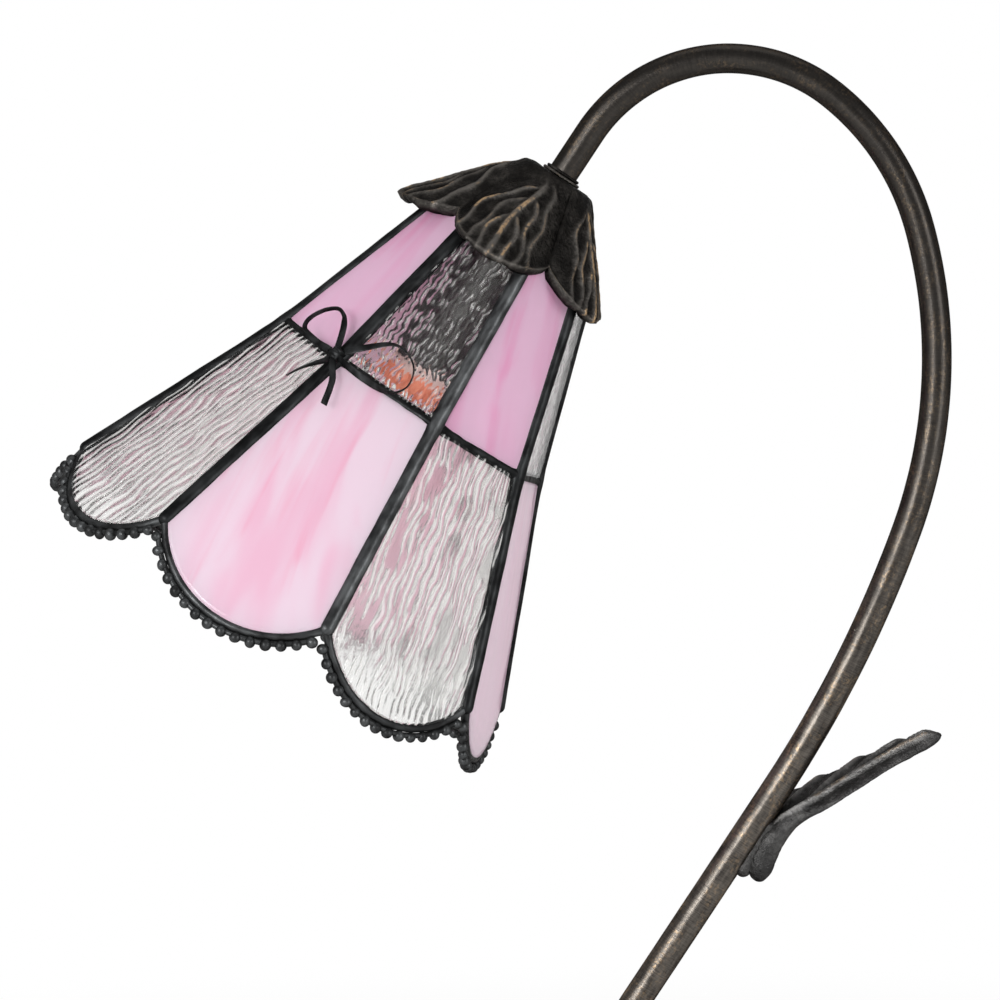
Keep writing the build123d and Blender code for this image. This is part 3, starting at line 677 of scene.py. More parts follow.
def pane_places(panel, petal, columns, rows):
    """Where the grid of a pane lies in its panel: straight columns from its upper to its lower edge."""
    inset = CAME_HEART / 2
    slope = (panel.low_half - panel.top_half) / panel.slant

    def side(v):
        return panel.top_half - slope * v - inset * hypot(1, slope)

    low_v = inset - panel.slant
    arc_r = PETAL_R - inset
    for _ in range(EDGE_ROUNDS if petal else 0):
        low_v = PETAL_CENTRE - sqrt(arc_r**2 - side(low_v) ** 2)
    share = np.linspace(-1, 1, columns)
    top_u, low_u = share * side(-inset), share * side(low_v)
    low_edge = PETAL_CENTRE - np.sqrt(arc_r**2 - low_u**2) if petal else np.full(columns, low_v)
    down = np.linspace(0, 1, rows)[:, None]
    return top_u + (low_u - top_u) * down, -inset + (low_edge + inset) * down


# How far the pink streaks lean, how strong they are on each panel (panel 7's low strength paints the glare of
# light washing over it), and the ripples' share on a pane's inside
PINK_SLANT = 0.3
PINK_TONES_AND_GLARE = (0.9, 1.0, 2.0, 1.0, 2.0, 0.9, 0.12, 1.0)
INSIDE_RIPPLES = 0.25
SHEET_STEP = 7.0


def pane_mesh(name, number, panel, petal, columns, rows):
    """A closed slab of glass for one panel, its two faces gridded."""
    u, v = pane_places(panel, petal, columns, rows)
    front, back = (
        from_shade(panel.at(u, v, face * GLASS_T / 2), panel_turn(number)).reshape(-1, 3) for face in (1, -1)
    )
    size = columns * rows
    grid = np.arange(size).reshape(rows, columns)
    quads = np.stack([grid[:-1, :-1], grid[1:, :-1], grid[1:, 1:], grid[:-1, 1:]], axis=-1).reshape(-1, 4)
    rim = np.concatenate([grid[0, :-1], grid[:-1, -1], grid[-1, :0:-1], grid[:0:-1, 0]])
    after = np.roll(rim, -1)
    walls = np.stack([rim, after, after + size, rim + size], axis=-1)
    faces = np.concatenate([quads, quads[:, ::-1] + size, walls]).tolist()
    sheet = np.full_like(u, number * SHEET_STEP)
    leaning = np.linspace(-1, 1, columns) * panel.low_half + PINK_SLANT * v
    place, fan = (np.stack([across, v, sheet], axis=-1).reshape(-1, 3) * MM for across in (u, leaning))
    marks = np.concatenate([np.ones(size), np.full(size, INSIDE_RIPPLES)])
    edge = np.isin(np.arange(size), rim)
    marks[np.concatenate([edge, edge])] = 0
    tones_and_glare = np.full(2 * size, PINK_TONES_AND_GLARE[number - 1])
    numbers = {"rippled": marks, "tone_and_glare": tones_and_glare, "inner": np.repeat([0.0, 1.0], size)}
    vectors = {"pane": np.concatenate([place] * 2), "fan": np.concatenate([fan] * 2)}
    return new_mesh(name, np.concatenate([front, back]), faces, numbers, vectors)


# Ripples by the panel's number: waves per metre across and along, height in metres, from where their crests
# carry a painted highlight, and how much of the pane is bare of them
PINK_RIPPLES = {"others": (70.0, 22.0, 0.00005, 0.90, 0.26)}
PETAL_RIPPLES = {
    2: (290.0, 70.0, 0.00023, 0.35, 0.24),
    8: (380.0, 90.0, 0.00018, 0.35, 0.30),
    "others": (330.0, 80.0, 0.00020, 0.30, 0.27),
}
UPPER_RIPPLES = {
    1: (560.0, 300.0, 0.00020, 0.50, 0.36),
    7: (560.0, 200.0, 0.00010, -0.20, 0.20),
    "others": (560.0, 300.0, 0.00014, 0.20, 0.26),
}
# Finish, columns and rows of the grid, how far ripples wander, and the ripples
PANES = {
    ("pink", "upper"): (UPPER_PINK, (40, 50), 2.0, PINK_RIPPLES),
    ("pink", "lower"): (LOWER_PINK, (40, 50), 2.0, PINK_RIPPLES),
    ("clear", "upper"): (UPPER_CLEAR, (130, 140), 2.2, UPPER_RIPPLES),
    ("clear", "lower"): (LOWER_CLEAR, (190, 120), 2.2, PETAL_RIPPLES),
}


def panes():
    """Pink and clear glass in turn, round the shade and from upper to lower pane."""
    for number in range(1, PANELS + 1):
        for level, panel, petal in (("upper", UPPER, False), ("lower", LOWER, True)):
            node = f"{level}_pane_{number}"
            glass = "pink" if (number % 2 == 1) == petal else "clear"
            look, grid, wander, ripples = PANES[glass, level]
            across, along, height, start, bare = ripples.get(number, ripples["others"])
            mesh = pane_mesh(node, number, panel, petal, *grid)
            mesh = shaped(mesh, RIPPLED_PANE, Ripple_height=height, Crest_start=start, Waves_across=across,
                          Waves_along=along, Wander=wander, Bare=bare, Seed=float(number), Finish=look)
            new_piece(f"{glass}_{node}", mesh, [node])


# Bars
def straight(start, end, step=1.2):
    """Points along a straight run, about a step apart."""
    start, end = np.asarray(start, float), np.asarray(end, float)
    count = max(2, round(np.linalg.norm(end - start) / step))
    return start + (end - start) * np.linspace(0, 1, count + 1)[:, None]


def corner(level, side):
    """Where the rib at one side of a panel crosses a level."""
    radius, place = level
    return np.array((radius * cos(HALF), side * radius * sin(HALF), place))


def rounded_ends(points, radius, first=True):
    """Extra points at both ends of a run, or at its last end alone, with swells that round it off."""
    points = np.asarray(points, float)
    swell = np.ones(len(points))
    turns = np.linspace(0, pi / 2, 7)[1:]
    for order in (-1, 1) if first else (1,):
        ends, widths = points[::order], swell[::order]
        heading = (ends[-1] - ends[-2]) / np.linalg.norm(ends[-1] - ends[-2])
        ends = np.concatenate([ends, ends[-1] + np.sin(turns)[:, None] * heading * radius])
        widths = np.concatenate([widths, np.maximum(np.cos(turns), 0.02)])
        points, swell = ends[::order], widths[::order]
    return points, swell


def ridge(distance, width):
    """1 at a distance of 0, falling to 0 a few widths away."""
    return np.exp(-((distance / width) ** 2))


def rise(values, low, high):
    """0 below low, 1 above high and a smooth rise from one to the other."""
    share = np.clip((values - low) / (high - low), 0, 1)
    return share * share * (3 - 2 * share)


def round_shade(name, run, swell=1.0):
    """A run of one panel, repeated on all of them, and thick as its swell says."""
    runs = [from_shade(run, panel_turn(number)) for number in range(1, PANELS + 1)]
    return path_mesh(name, runs, [np.broadcast_to(swell, len(run))] * PANELS)


# The rib facing the lamps, whose lighter solder is a painted sheen
SHEEN_RIB = 8
# How much a bar swells at a joint and how far from it: in millimetres on a rib, in points on a cross bar
RIB_JOINT = (0.14, 3.0)
RIB_HEAD = (-0.3, 4.0)
CROSS_JOINT = (0.25, 2.5)


def swelling(distance, joint):
    """How much a bar swells at a distance from a joint."""
    height, reach = joint
    return height * ridge(distance, reach)


def rib_cames():
    """Bent bars between the panels, slim under the cap and swollen where the waist bars are soldered on."""
    for number in range(1, PANELS + 1):
        top, waist, rim = (corner(level, 1) for level in (TOP, WAIST, RIM))
        run = np.concatenate([straight(top, waist), straight(waist, rim)[1:]])
        joint, head = np.linalg.norm(run - waist, axis=1), np.linalg.norm(run - top, axis=1)
        run, swell = rounded_ends(run, RIB_R, first=False)
        swell[: len(joint)] += swelling(joint, RIB_JOINT) + swelling(head, RIB_HEAD)
        mesh = path_mesh("rib", [from_shade(run, panel_turn(number))], [swell])
        mesh = shaped(mesh, SWEPT_BAR, Radius=RIB_R * MM, Sides=28, Lump_height=0.0004, Lump_waves=90.0,
                      Seed=float(number), Finish=SHEEN_SOLDER if number == SHEEN_RIB else CAME_SOLDER)
        new_piece(f"solder_rib_{number}", mesh, [f"rib_came_{number}"])


def cross_cames(name, node, level, radius):
    """The straight bars from rib to rib at one level."""
    run = straight(corner(level, -1), corner(level, 1))
    ends = np.minimum(np.arange(len(run)), np.arange(len(run))[::-1])
    mesh = round_shade(name, run, 1 + swelling(ends, CROSS_JOINT))
    mesh = shaped(mesh, SWEPT_BAR, Radius=radius * MM, Sides=24, Lump_height=0.0006, Lump_waves=170.0,
                  Seed=11.0, Finish=CAME_SOLDER)
    new_piece(name, mesh, [node])


RIM_POINTS = 80
ROW_POINTS = 120


def petal_run(radius, reach, count):
    """Points along a petal's rounded edge, at a radius and as far to each side of its tip."""
    angle = np.linspace(-reach, reach, count)
    return LOWER.at(radius * np.sin(angle), PETAL_CENTRE - radius * np.cos(angle), 0)


def row_reach(row_r):
    """How far to each side of the tip a row of beads can run before it meets the next petal's row."""
    widening = (RIM[0] - WAIST[0]) * cos(HALF) / LOWER.slant
    middle = (WAIST[0] * cos(HALF) - widening * PETAL_CENTRE) * sin(HALF)
    along, across = widening * row_r * sin(HALF), row_r * cos(HALF)
    return atan2(along, across) + asin((middle - BEAD_R - ROW_GAP / 2) / hypot(along, across))


def rim_edging():
    """The strip round the petals, and their rows of beads on a wire."""
    row_r = PETAL_R + RIM_CAME_R + BEAD_R - BEAD_SINK
    reach = row_reach(row_r)
    mesh = round_shade("rim", petal_run(PETAL_R, PETAL_SWEEP, RIM_POINTS))
    mesh = shaped(mesh, SWEPT_BAR, Radius=RIM_STRIP_R * MM, Sides=20, Lump_height=0.0005, Lump_waves=210.0,
                  Seed=21.0, Finish=RIM_SOLDER)
    new_piece("rim_strip", mesh, ["rim_edging"])
    mesh = round_shade("beads", petal_run(row_r, reach, ROW_POINTS))
    mesh = shaped(mesh, BEAD_ROW, Count=round(2 * reach * row_r / BEAD_PITCH) + 1, Bead_radius=BEAD_R * MM,
                  Unevenness=0.1, Seed=5, Finish=BEAD_SOLDER)
    new_piece("rim_beads", mesh, ["rim_edging"])
    mesh = round_shade("wire", petal_run(row_r - BEAD_WIRE_IN, reach, ROW_POINTS))
    mesh = shaped(mesh, SWEPT_BAR, Radius=BEAD_WIRE_R * MM, Sides=10, Lump_height=0.0003, Lump_waves=260.0,
                  Seed=23.0, Finish=RIM_SOLDER)
    new_piece("rim_bead_wire", mesh, ["rim_edging"])


# Cast leaves
VASE_LINE = (
    (5.1, 2.4), (10.3, 2.4), (13.6, 6.2), (17.0, 12.4), (20.2, 18.6), (22.6, 22.6), (24.4, 23.3),
    (27.4, 23.3), (27.8, 23.9), (27.4, 24.5), (23.4, 24.5), (21.4, 23.4), (19.0, 18.8), (15.8, 12.8),
    (12.4, 7.0), (9.4, 3.7), (5.1, 3.6),
)
RING_SIDES = 64
COLLAR_HOLE_R = 5.05
COLLAR_REACH = (7.0, 6.2)
COLLAR_H = 1.1
CALYX_LEAVES = 5
CALYX_GRID = (72, 66)
CALYX_UNDER_ROWS = 18
CALYX_HOLE_R = 5.1
CALYX_CROWN_R = 11.0
CALYX_LINE = (
    (11.0, 0.0), (13.4, 0.8), (15.8, 3.2), (20.6, 8.6), (27.4, 16.2), (34.5, 24.2), (41.0, 31.6),
    (42.0, 34.0),
)
CALYX_NOTCH = 0.80
CALYX_FOLD = 0.22
CALYX_WALL = 2.4
CALYX_EDGE = 3.6
# Degrees round the cap to its dent, the dent's width in degrees and its depth as a share of the radius
CALYX_DENT = (-78.0, 30.0, 0.055)
# Where each pair of side veins leaves the midrib, and how far it spreads
CALYX_VEINS = ((2.0, 16.5), (11.0, 10.0), (20.0, 5.0))
# Half widths of a vein's crest and of the swelling under it
MIDRIB_WIDTHS = (1.0, 2.4)
VEIN_WIDTHS = (0.8, 1.7)
# How far a vein sways to its sides, and how fast down the leaf
MIDRIB_SWAY = (0.9, 0.17)
VEIN_SWAY = (0.8, 0.34)
CREST_H = 0.7
SWELL_H = 0.7
SKIN_SINK = 0.4
# Height and place of the rolled edge, and its half width
ROLLED_EDGE = (0.6, 0.6, 0.7)
# How high a leaf laps over the next and how low it lies under the last, each with its share of the width
LAP_OVER = (1.3, 0.10)
LAP_UNDER = (0.3, 0.12)


def smooth_run(points, per_leg):
    """A smooth run through points, in so many steps to each leg."""
    p = np.asarray(points, float)
    p = np.concatenate([[2 * p[0] - p[1]], p, [2 * p[-1] - p[-2]]])
    t = np.linspace(0, 1, per_leg, endpoint=False)[:, None]
    legs = [
        b + 0.5 * ((c - a) * t + (2 * a - 5 * b + 4 * c - d) * t**2 + (3 * b - a - 3 * c + d) * t**3)
        for a, b, c, d in zip(p, p[1:], p[2:], p[3:])
    ]
    return np.concatenate(legs + [p[-2:-1]])


def lengths(run):
    """How far along a run each of its points is."""
    return np.append(0, np.cumsum(np.linalg.norm(np.diff(run, axis=0), axis=1)))


def headings(run):
    """The direction of a run at each of its points."""
    heading = np.gradient(run, axis=0)
    return heading / np.linalg.norm(heading, axis=1)[:, None]


def boxed(values, power):
    """Values from -1 to 1 pushed towards the ends, which makes a round section boxy."""
    return np.sign(values) * np.abs(values) ** power


def facing_out(points, faces):
    """The faces, turned over if they look into the closed shape."""
    a, b, c = (points[np.array([face[i] for face in faces])] for i in range(3))
    d = points[np.array([face[-1] for face in faces])]
    volume = np.einsum("ij,ij->i", a, np.cross(b, c)).sum() + np.einsum("ij,ij->i", a, np.cross(c, d)).sum()
    return faces if volume > 0 else [face[::-1] for face in faces]


def closed_ring_mesh(name, rows, numbers):
    """A mesh closed both along its rows and from its last row to its first."""
    count, size, _ = rows.shape
    grid = np.arange(count * size).reshape(count, size)
    below, beside = np.roll(grid, -1, 0), np.roll(grid, -1, 1)
    faces = np.stack([grid, beside, np.roll(below, -1, 1), below], axis=-1).reshape(-1, 4).tolist()
    points = rows.reshape(-1, 3)
    numbers = {key: value.ravel() for key, value in numbers.items()}
    return new_mesh(name, points, facing_out(points, faces), numbers)


def lofted_mesh(name, rings, numbers):
    """A mesh through rings of points, closed at both ends by a pole."""
    count, size, _ = rings.shape
    grid = np.arange(count * size).reshape(count, size)
    after = np.roll(grid, -1, 1)
    faces = np.stack([grid[:-1], after[:-1], after[1:], grid[1:]], axis=-1).reshape(-1, 4).tolist()
    first, last = count * size, count * size + 1
    faces += [(first, b, a) for a, b in zip(grid[0].tolist(), after[0].tolist())]
    faces += [(last, a, b) for a, b in zip(grid[-1].tolist(), after[-1].tolist())]
    points = np.concatenate([rings.reshape(-1, 3), [rings[0].mean(axis=0), rings[-1].mean(axis=0)]])
    numbers = {key: np.append(value.ravel(), (0, 0)) for key, value in numbers.items()}
    return new_mesh(name, points, facing_out(points, faces), numbers)


def calyx_leaf(number):
    """One leaf of the cap, as a grid from crown to edge.

    Gives its radius and depth, the way out of it in both, the height of its upper face and its relief.
    """
    columns, rows = CALYX_GRID
    side = np.linspace(-1, 1, columns)
    share = np.linspace(0, 1, rows)[:, None]
    line = smooth_run(CALYX_LINE, 10)
    along, heading = lengths(line), headings(line)
    edge = along[-1] * (CALYX_NOTCH + (1 - CALYX_NOTCH) * np.cos(side * pi / 2) ** 0.8)
    down = share * edge
    radius, depth, head_r, head_s = (np.interp(down, along, v) for v in (*line.T, *heading.T))
    middle, width, dent = CALYX_DENT
    turn = (360 / CALYX_LEAVES * (number + side / 2) + 180) % 360 - 180
    radius = (radius - CALYX_FOLD * depth * np.abs(side) ** 1.5) * (1 - dent * ridge(turn - middle, width))
    sway, pace = MIDRIB_SWAY
    across = radius * radians(180 / CALYX_LEAVES) * side + sway * np.sin(down * pace + number * 2.1)
    relief, swell = (ridge(across, half) * rise(down, 4, 10) for half in MIDRIB_WIDTHS)
    sway, pace = VEIN_SWAY
    for place, (start, spread) in enumerate(CALYX_VEINS):
        for hand in (-1, 1):
            odd = np.sin(number * 2.7 + place * 4.1 + hand)
            below = np.maximum(down - start - 4 - hand * 1.2 - 1.6 * odd, 0)
            vein = across - hand * spread * (1 + 0.12 * odd) * (1 - np.exp(-0.8 * below / spread))
            vein = vein + sway * np.sin(down * pace + place * 1.9 + number + hand) * rise(below, 0, 8)
            strength = rise(below, 0.5, 4) * (0.8 + 0.2 * odd)
            crest, bulge = (ridge(vein, half) * strength for half in VEIN_WIDTHS)
            relief, swell = np.maximum(relief, crest), np.maximum(swell, bulge)
    height, inset, width = ROLLED_EDGE
    relief = np.maximum(relief, height * ridge(edge - down - inset, width) * rise(down, 14, 24))
    (over, over_w), (under, under_w) = LAP_OVER, LAP_UNDER
    lap = over * np.exp((side - 1) / over_w) - under * np.exp(-(side + 1) / under_w)
    lap = lap * (1 - rise(share, 0.7, 0.95))
    height = CREST_H * relief + SWELL_H * swell * rise(down, 5, 16) - SKIN_SINK + lap
    settled = rise(down, 0, 10)
    return radius, depth, head_s, -head_r, height * settled, relief * settled


def calyx_cap():
    """The cap of broad leaves in one casting, with its inside and the hole for the tube."""
    columns, rows = CALYX_GRID
    radii, depths, reliefs, angles = [], [], [], []
    inner = np.linspace(CALYX_HOLE_R, CALYX_CROWN_R, 5)[:-1, None] * np.ones(columns)
    under = np.linspace(rows - 1, 0, CALYX_UNDER_ROWS).round().astype(int)
    blank = np.zeros_like(inner)
    smooth_under = np.zeros((len(under), columns))
    wall = CALYX_WALL + (CALYX_EDGE - CALYX_WALL) * rise(np.linspace(0, 1, rows)[:, None], 0.6, 1)
    for number in range(CALYX_LEAVES):
        radius, depth, out_r, out_s, height, relief = calyx_leaf(number)
        lower_r, lower_s = (radius - wall * out_r)[under], (depth - wall * out_s)[under]
        radius, depth = radius + height * out_r, depth + height * out_s
        lower_r, lower_s = np.maximum(lower_r, CALYX_HOLE_R + 0.5), np.maximum(lower_s, CALYX_WALL)
        edge_r, edge_s = (radius[-1] + lower_r[0]) / 2 + 0.3, (depth[-1] + lower_s[0]) / 2 + 0.4
        radii.append(np.concatenate([inner, radius, [edge_r], lower_r, inner[::-1]]))
        depths.append(np.concatenate([blank, depth, [edge_s], lower_s, blank + CALYX_WALL]))
        reliefs.append(np.concatenate([blank, relief, [relief[-1] * 0.6], smooth_under, blank]))
        angles.append(radians(360 / CALYX_LEAVES) * (number + np.linspace(-0.5, 0.5, columns)))
    radius, depth, relief, angle = (np.concatenate(a, axis=-1) for a in (radii, depths, reliefs, angles))
    rows_in_shade = np.stack([radius * np.cos(angle), radius * np.sin(angle), depth], axis=-1)
    mesh = closed_ring_mesh("calyx", from_shade(rows_in_shade, SHADE_TURN), {"relief": relief})
    mesh = shaped(mesh, CAST_SKIN, Lump_height=0.0007, Lump_waves=420.0, Seed=2.0, Finish=CAP_BRONZE)
    new_piece("leaf_cap_cast", mesh, ["calyx_cap"])


def turned_ring(name, line, relief):
    """A closed ring on the shade's axis from its outline, as radius and depth."""
    around = np.linspace(0, 2 * pi, RING_SIDES, endpoint=False)
    radius, depth = line[:, :1], line[:, 1:] + 0 * around
    rows = np.stack([radius * np.cos(around), radius * np.sin(around), depth], axis=-1)
    mesh = closed_ring_mesh(name, from_shade(rows), {"relief": relief[:, None] + 0 * around})
    return shaped(mesh, CAST_SKIN, Lump_height=0.0002, Lump_waves=300.0, Seed=6.0, Finish=CAP_BRONZE)


def vase_cap():
    """The spun cap under the leaves that the upper edge of the glass hangs from."""
    line = smooth_run(VASE_LINE, 4)
    mesh = turned_ring("vase", line, 0.3 * rise(line[:, 0], 24, 27))
    new_piece("vase_cap_spun", mesh, ["vase_cap"])


def neck_collar():
    """Two turned rings, one on the other, with rounded edges."""
    turn = np.linspace(pi / 2, -pi / 2, 9)
    inwards, upwards = COLLAR_H / 2 * (1 - np.cos(turn)), np.sin(turn) / 2
    line = np.concatenate([
        np.stack([reach - inwards, -COLLAR_H * (step + 0.5 - upwards)], axis=1)
        for step, reach in enumerate(COLLAR_REACH)
    ])
    line = np.concatenate([[(COLLAR_HOLE_R, 0)], line, [(COLLAR_HOLE_R, -2 * COLLAR_H)]])
    worn = np.clip((line[:, 0] - COLLAR_REACH[1]) / 0.8, 0, 1) * 0.6
    new_piece("neck_collar_turned", turned_ring("collar", line, worn), ["neck_collar"])


# Leaf on the stem. Lengths along it are from its foot
STEM_LEAF_RUN = (
    (51.2, 119.4), (51.9, 123.0), (53.3, 128.0), (56.0, 133.3), (62.2, 140.2), (72.7, 147.0), (83.7, 153.6),
    (95.3, 160.3), (112.4, 168.6),
)
STEM_LEAF_ROLL = 17.0
STEM_LEAF_TWIST = 14.0
TWIST_AT = 26
STALK_HALF_W = 3.8
STALK_HALF_T = 4.4
BLADE_START = 8
BLADE_WIDER = 8.6
BLADE_THINNER = 2.8
TIP_NARROWER = 0.5
TIP_THICKER = 0.4
FOOT_ROUND = 7.0
TIP_ROUND = 5.5
LEAF_VEINS = 5.6
LEAF_VEIN_LEAN = 0.30
LEAF_RELIEF = 1.8
LEAF_WELD = ((46.5, 123.7), (55.0, 137.5))
LEAF_WELD_R = 2.8


def stem_leaf_rings():
    """Rings along a thick curled stalk that spreads into a veined blade, roof-shaped along its midrib."""
    run = smooth_run(STEM_LEAF_RUN, 28)
    along, heading = lengths(run), headings(run)
    length = along[-1]
    blade = np.clip((along - BLADE_START) / (length - BLADE_START), 0, 1)
    wider = BLADE_WIDER * np.sin(pi * blade**0.8) * rise(along, BLADE_START, 24)
    thicker = TIP_THICKER * rise(along, length - 25, length - 8)
    rounding = np.maximum(1 - along / FOOT_ROUND, 1 - (length - along) / TIP_ROUND).clip(0)
    ends = np.sqrt(np.clip(1 - rounding**2, 0.01, 1))
    half_wide = ((STALK_HALF_W - TIP_NARROWER * blade + wider) * ends)[:, None]
    half_thick = ((STALK_HALF_T - BLADE_THINNER * rise(along, 10, 36) + thicker) * ends)[:, None]
    ring = np.linspace(0, 2 * pi, 72, endpoint=False)
    side, lift = boxed(np.cos(ring), 0.85)[None, :], np.sin(ring)[None, :]
    near = 1 - 0.45 * rise(along, 10, 22) - 0.2 * ridge(along - TWIST_AT, 10)
    side = np.where(side < 0, side * near[:, None], side)
    far = np.clip(side, 0, 1)
    spread = rise(along, 10, 28)[:, None]
    phase = (along[:, None] / length - LEAF_VEIN_LEAN * far) * 2 * pi * LEAF_VEINS
    veins = np.clip(np.cos(phase), 0, 1) ** 2 * far**0.4
    midrib = ridge(side * half_wide, 1.0)
    relief = np.maximum(veins * 0.8, midrib) * spread * (lift > 0) * rise(length - along, 0, 6)[:, None]
    droop = -1.6 * np.clip(-side, 0, 1) ** 1.4 + 0.9 * far**2
    deep = half_wide * side * (1 + 0.06 * np.cos(phase - 1.2) * far**6 * spread)
    high = half_thick * lift + (LEAF_RELIEF * relief - 0.4 * (lift > 0) + droop * ends[:, None]) * spread
    roll = np.radians(STEM_LEAF_ROLL + STEM_LEAF_TWIST * ridge(along - TWIST_AT, 12))[:, None] * spread
    in_plane = deep * np.sin(roll) + high * np.cos(roll)
    through = deep * np.cos(roll) - high * np.sin(roll)
    x = run[:, None, 0] - in_plane * heading[:, None, 1]
    z = run[:, None, 1] + in_plane * heading[:, None, 0]
    return np.stack([x, through, z], axis=-1) * MM, relief


def stem_leaf():
    """The cast leaf, and the braze that holds it to the tube."""
    rings, relief = stem_leaf_rings()
    mesh = lofted_mesh("leaf", rings, {"relief": relief})
    mesh = shaped(mesh, CAST_SKIN, Lump_height=0.0007, Lump_waves=260.0, Seed=7.0, Finish=LEAF_BRONZE)
    new_piece("stem_leaf_cast", mesh, ["stem_leaf"])
    run, swell = rounded_ends(upright(straight(*LEAF_WELD)), LEAF_WELD_R)
    mesh = shaped(path_mesh("weld", [run * MM], [swell]), SWEPT_BAR, Radius=LEAF_WELD_R * MM, Sides=20,
                  Lump_height=0.0004, Lump_waves=240.0, Seed=8.0, Finish=LEAF_BRONZE)
    new_piece("stem_leaf_weld", mesh, ["stem_leaf"])


# Bow of flat lead strip, tied where the first rib crosses the waist
STRIP_W = 2.4
STRIP_T = 0.5
# Places along the waist, up the rib and away from it, and how far the strip is turned face-on
BOW_LOOPS = (
    ((-0.6, 1.5, 1.2, 0.9), (-3.2, 6.5, 1.8, 0.9), (-5.4, 9.9, 2.2, 0.85), (-8.1, 12.3, 2.2, 0.6),
     (-11.6, 13.0, 2.0, 0.5), (-14.9, 10.3, 1.8, 0.5), (-16.9, 6.2, 1.5, 0.5), (-17.0, 3.0, 1.2, 0.5),
     (-15.0, 1.0, 1.0, 0.6), (-8.5, 0.0, 1.2, 0.8), (-2.5, 0.2, 1.6, 0.8)),
    ((2.0, 2.0, 1.4, 0.9), (7.7, 8.2, 2.0, 0.8), (13.4, 13.4, 2.2, 0.45), (18.4, 14.5, 2.0, 0.1),
     (23.5, 13.0, 1.6, 0.02), (26.9, 10.2, 1.2, 0.02), (28.8, 5.2, 0.9, 0.02), (26.8, 0.9, 0.9, 0.3),
     (22.4, -0.8, 1.2, 0.8), (14.5, -1.2, 1.5, 1.0), (7.0, -1.0, 1.6, 0.9), (1.0, -0.2, 1.4, 0.8)),
)
BOW_TAILS = (
    ((0.2, -0.8, 1.2, 0.9), (-0.8, -3.5, 1.4, 0.8), (-3.1, -7.1, 1.6, 0.6), (-5.5, -10.7, 1.4, 0.4),
     (-7.9, -15.3, 0.6, 0.2)),
    ((0.6, -0.8, 1.4, 0.9), (2.6, -3.7, 1.6, 0.9), (6.3, -7.1, 1.7, 0.85), (8.5, -10.5, 1.6, 0.8),
     (11.1, -16.0, 1.3, 0.9)),
)
LEFT_TAIL_NARROWS = 0.6
BOW_CLEAR = 0.3
# Half sizes of the knot along the waist, up the rib and out from it, and how far up and out its middle is
KNOT_HALF = (2.4, 2.5, 1.9)
KNOT_UP = 0.2
KNOT_OUT = 0.9
KNOT_LEAN = 0.5
KNOT_WRAP = 0.07


def bow_frame():
    """Where the bow is tied, and its directions: along the waist, up the rib and away from the shade."""
    slope = [atan2(low[0] - top[0], low[1] - top[1]) for top, low in ((TOP, WAIST), (WAIST, RIM))]
    lean = sum(slope) / 2
    out = np.array((cos(lean) * cos(HALF), cos(lean) * sin(HALF), -sin(lean)))
    across = np.array((sin(HALF), -cos(HALF), 0))
    return corner(WAIST, 1) + out * (RIB_R + BOW_CLEAR), across, np.cross(out, across), out


def from_bow(places):
    origin, across, up, out = bow_frame()
    x, y, z = np.moveaxis(np.asarray(places), -1, 0)
    return from_shade(origin + x[..., None] * across + y[..., None] * up + z[..., None] * out, SHADE_TURN)


def strip_mesh(name, controls, narrow):
    """A flat strip through control places, narrower at its end by a share."""
    run = smooth_run(controls, 10)
    points, facing = from_bow(run[:, :3]), np.clip(run[:, 3], 0, 1)[:, None]
    heading = headings(points)
    through = np.array((0.0, 1.0, 0.0)) - heading * heading[:, 1:2]
    through /= np.linalg.norm(through, axis=1)[:, None]
    beside = np.cross(heading, through)
    wide = through * np.sqrt(1 - facing**2) + beside * facing
    thick = np.cross(heading, wide)
    share = np.linspace(0, 1, len(run))[:, None, None]
    ring = np.linspace(0, 2 * pi, 16, endpoint=False)
    x, y = boxed(np.cos(ring), 0.4)[:, None], boxed(np.sin(ring), 0.7)[:, None]
    half_w = STRIP_W / 2 * MM * (1 - narrow * share**2)
    rings = points[:, None] + wide[:, None] * x * half_w + thick[:, None] * y * STRIP_T / 2 * MM
    return lofted_mesh(name, rings, {})


def knot_mesh():
    """The knot, wrapped in a few turns of the strip."""
    turns = np.linspace(0, 2 * pi, 40, endpoint=False)
    down = np.linspace(-1, 1, 25)[:, None]
    round_off = np.sqrt(np.clip(1 - np.abs(down) ** 5, 0.02, 1))
    wrap = 1 + KNOT_WRAP * np.cos(down * pi * 3)
    half_x, half_y, half_z = KNOT_HALF
    x = half_x * boxed(np.cos(turns), 0.75) * round_off * wrap
    z = KNOT_OUT + half_z * boxed(np.sin(turns), 0.75) * round_off * wrap
    rings = from_bow(np.stack([x + KNOT_LEAN * down, KNOT_UP + half_y * down + 0 * x, z], axis=-1))
    return lofted_mesh("bow_knot", rings, {})


def bow():
    strips = (
        ("bow_loop_left", BOW_LOOPS[0], 0.0, "bow_loops"),
        ("bow_loop_right", BOW_LOOPS[1], 0.0, "bow_loops"),
        ("bow_tail_left", BOW_TAILS[0], LEFT_TAIL_NARROWS, "bow_tails"),
        ("bow_tail_right", BOW_TAILS[1], 0.0, "bow_tails"),
    )
    for name, controls, narrow, node in strips:
        mesh = shaped(strip_mesh(name, controls, narrow), CAST_SKIN, Lump_height=0.00015, Lump_waves=300.0,
                      Seed=4.0, Finish=RIBBON_SOLDER)
        new_piece(name, mesh, [node])
    mesh = shaped(knot_mesh(), CAST_SKIN, Lump_height=0.0004, Lump_waves=260.0, Seed=9.0,
                  Finish=RIBBON_SOLDER)
    new_piece("bow_knot_wrapped", mesh, ["bow_knot"])


